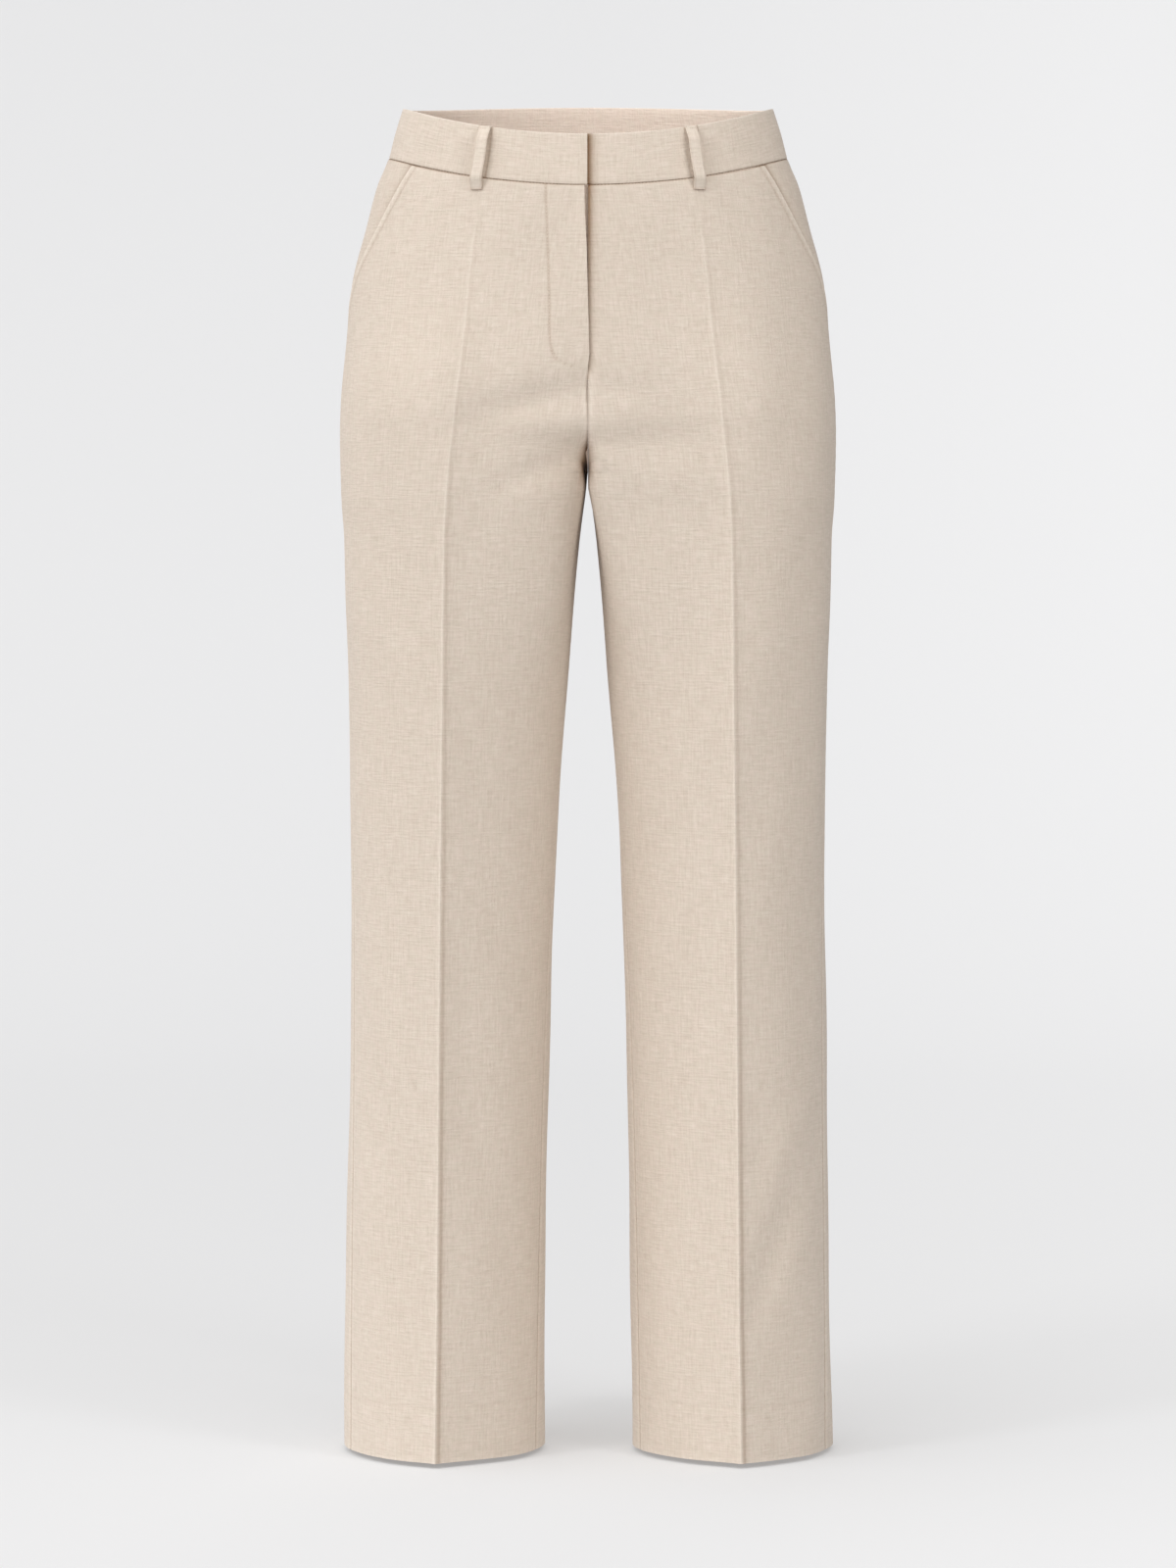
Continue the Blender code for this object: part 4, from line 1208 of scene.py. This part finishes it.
# --- studio ---
# The hems stand this far above the floor, which leaves the dark line under them.
FLOOR_GAP = 4.0
PAPER_COLOUR = (0.55, 0.555, 0.565, 1.0)
PAPER_GLOW = 0.272
# The paper glows more where less light falls: from and to, in metres up and to the right, and by how much.
EVENED_GLOW = {"Z": (-1.0, 0.6, 0.07), "X": (0.0, 0.8, 0.06)}
# The sweep: its half width, its front end, where its turn starts, the turn's radius and its top, in metres.
SWEEP_HALF_WIDTH, SWEEP_FRONT, SWEEP_BACK, SWEEP_RADIUS, SWEEP_TOP = 1.25, -1.1, 2.6, 1.6, 6.0
SWEEP_TURN_STEPS = 24
FLOOR_HALF_WIDTH, FLOOR_FRONT = 6.0, -6.5
FLOOR_COLOUR = (0.36, 0.36, 0.36, 1.0)
SKY_AZIMUTH, SKY_ELEVATION = -52.0, 36.0
SKY_LEAST, SKY_RISE, SKY_POWER = 0.06, 1.36, 1.7
SKY_DIM_COLOUR, SKY_BRIGHT_COLOUR = (1.0, 0.94, 0.885, 1.0), (1.0, 1.0, 1.0, 1.0)
# Softboxes: where each stands, what it faces and its side, in metres, and its watts. The key models the cloth
# from the upper left, and the fill opens the shadow on the hip at the right.
SOFTBOX_COLUMNS = ("name", "stands", "aim", "size", "power")
SOFTBOXES = (
    ("key", (-1.75, -1.6, 1.05), (0.0, 0.0, -0.35), 0.55, 12.0),
    ("fill", (0.9, -1.0, 0.45), (0.12, 0.0, -0.1), 0.4, 4.8),
)


def plain_paper(name, colour, glow, evened=False):
    """Matt paper or paint that glows a little, and evened paper more where less light falls."""
    paper = bpy.data.materials.new(name)
    paper.use_nodes = True
    tree = paper.node_tree
    shader = tree.nodes["Principled BSDF"]
    shader.inputs["Base Color"].default_value = colour
    shader.inputs["Roughness"].default_value = 1.0
    shader.inputs["Specular IOR Level"].default_value = 0.0
    shader.inputs["Emission Color"].default_value = (1.0, 1.0, 1.0, 1.0)
    shader.inputs["Emission Strength"].default_value = glow
    if evened:
        at = node(tree, "TexCoord").outputs["Object"]
        apart = node(tree, "SeparateXYZ", {0: at})
        for axis, (start, end, more) in EVENED_GLOW.items():
            ends = {0: apart.outputs[axis], 1: start, 2: end, 3: 0.0, 4: more}
            rise = node(tree, "MapRange", ends).outputs[0]
            glow = node(tree, "Math", {0: rise, 1: glow}, operation="ADD").outputs[0]
        tree.links.new(glow, shader.inputs["Emission Strength"])
    return paper


def paper_strip(name, half_width, profile, paper):
    """Paper laid along a profile of y and z, in metres, and staged."""
    points = [(x, y, z) for y, z in profile for x in (-half_width, half_width)]
    faces = [(2 * k, 2 * k + 1, 2 * k + 3, 2 * k + 2) for k in range(len(profile) - 1)]
    mesh_piece(name, points, faces, paper)


def studio():
    """A pale paper sweep, both floor and backdrop, in soft light that is strongest from the upper left."""
    floor_z = -(HEM_DROP + FLOOR_GAP) * MM
    back = SWEEP_BACK + SWEEP_RADIUS
    profile = [(SWEEP_FRONT, floor_z), (SWEEP_BACK, floor_z)]
    for angle in np.linspace(0.0, math.pi / 2, SWEEP_TURN_STEPS)[1:]:
        rise = SWEEP_RADIUS * (1 - math.cos(angle))
        profile.append((SWEEP_BACK + SWEEP_RADIUS * math.sin(angle), floor_z + rise))
    profile.append((back, SWEEP_TOP))
    paper = plain_paper("backdrop_paper", PAPER_COLOUR, PAPER_GLOW, True)
    paper_strip("studio_sweep", SWEEP_HALF_WIDTH, profile, paper)
    around = [(FLOOR_FRONT, floor_z - MM), (back, floor_z - MM)]
    paper_strip("studio_floor", FLOOR_HALF_WIDTH, around, plain_paper("floor_paint", FLOOR_COLOUR, 0.0))
    soft_light()
    for row in SOFTBOXES:
        softbox(**dict(zip(SOFTBOX_COLUMNS, row)))


def soft_light():
    """Light from all round, brightest and whitest from one way and dim and warm from the other."""
    world = bpy.data.worlds.new("soft_light")
    bpy.context.scene.world = world
    world.use_nodes = True
    tree = world.node_tree
    azimuth, elevation = math.radians(SKY_AZIMUTH), math.radians(SKY_ELEVATION)
    level = math.cos(elevation)
    brightest = (math.sin(azimuth) * level, -math.cos(azimuth) * level, math.sin(elevation))
    way = node(tree, "TexCoord").outputs["Generated"]
    towards = node(tree, "VectorMath", {0: way, 1: brightest}, operation="DOT_PRODUCT").outputs["Value"]
    share = node(tree, "Math", {0: towards, 1: 0.5, 2: 0.5}, operation="MULTIPLY_ADD").outputs[0]
    rise = node(tree, "Math", {0: share, 1: SKY_POWER}, operation="POWER").outputs[0]
    strength = node(tree, "Math", {0: rise, 1: SKY_RISE, 2: SKY_LEAST}, operation="MULTIPLY_ADD").outputs[0]
    colours = {"Factor": share, "A": SKY_DIM_COLOUR, "B": SKY_BRIGHT_COLOUR}
    warmth = node(tree, "Mix", colours, data_type="RGBA").outputs["Result"]
    tree.links.new(strength, tree.nodes["Background"].inputs["Strength"])
    tree.links.new(warmth, tree.nodes["Background"].inputs["Color"])


def softbox(name, stands, aim, size, power):
    light = bpy.data.lights.new(name, "AREA")
    light.shape = "SQUARE"
    light.size = size
    light.energy = power
    lamp = bpy.data.objects.new(name, light)
    lamp.location = stands
    lamp.rotation_euler = (Vector(stands) - Vector(aim)).to_track_quat("Z", "Y").to_euler()
    bpy.context.scene.collection.objects.link(lamp)


# The camera stands in front, a little above mid height, and looks slightly down. The frame's half height is
# taken at the trousers, in metres, and the nudge sets the hems on their line.
CAMERA_BACK, CAMERA_DROP, AIM_DROP, AIM_NUDGE = 4.70, 0.225, 0.528, 0.00057
FRAME_HALF_HEIGHT, FRAME_AT = 0.6135, 4.71


def camera():
    data = bpy.data.cameras.new("camera")
    data.sensor_fit = "VERTICAL"
    data.angle = 2 * math.atan(FRAME_HALF_HEIGHT / FRAME_AT)
    viewer = bpy.data.objects.new("camera", data)
    viewer.location = (0.0, -CAMERA_BACK, -CAMERA_DROP)
    down = math.atan2(AIM_DROP - CAMERA_DROP, CAMERA_BACK) - AIM_NUDGE
    viewer.rotation_euler = (math.pi / 2 - down, 0.0, 0.0)
    bpy.context.scene.collection.objects.link(viewer)
    bpy.context.scene.camera = viewer
    bpy.context.scene.view_settings.view_transform = "Standard"


def main():
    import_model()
    camera()
    studio()
    linen = woven_linen("linen_plain_weave", "#e8dbd0", "#dccfc2", "#d0c2b4")
    # The inside is the same linen painted paler, standing in for light that reaches inside the waistband.
    inside = woven_linen(PALE_INSIDE, "#f7e9de", "#efe0d4", "#e6d6c9")
    thread = spun_thread("sewing_thread", "#e2d4c5")
    dark_thread = spun_thread("ditch_thread", "#8f7a66")
    for label, side in (("left", +1), ("right", -1)):
        for face in ("front", "back"):
            leg_panel(f"{face}_{label}", side, face, linen)
        pocket_facing(f"pocket_facing_{label}", side, linen)
        waistband_front(f"waistband_front_{label}", side, linen)
    waistband_back("waistband_back", linen)
    fly_shield("fly_shield", inside)
    for row in BELT_LOOPS:
        belt_loop(*row, linen)
    sew(thread, dark_thread)


main()
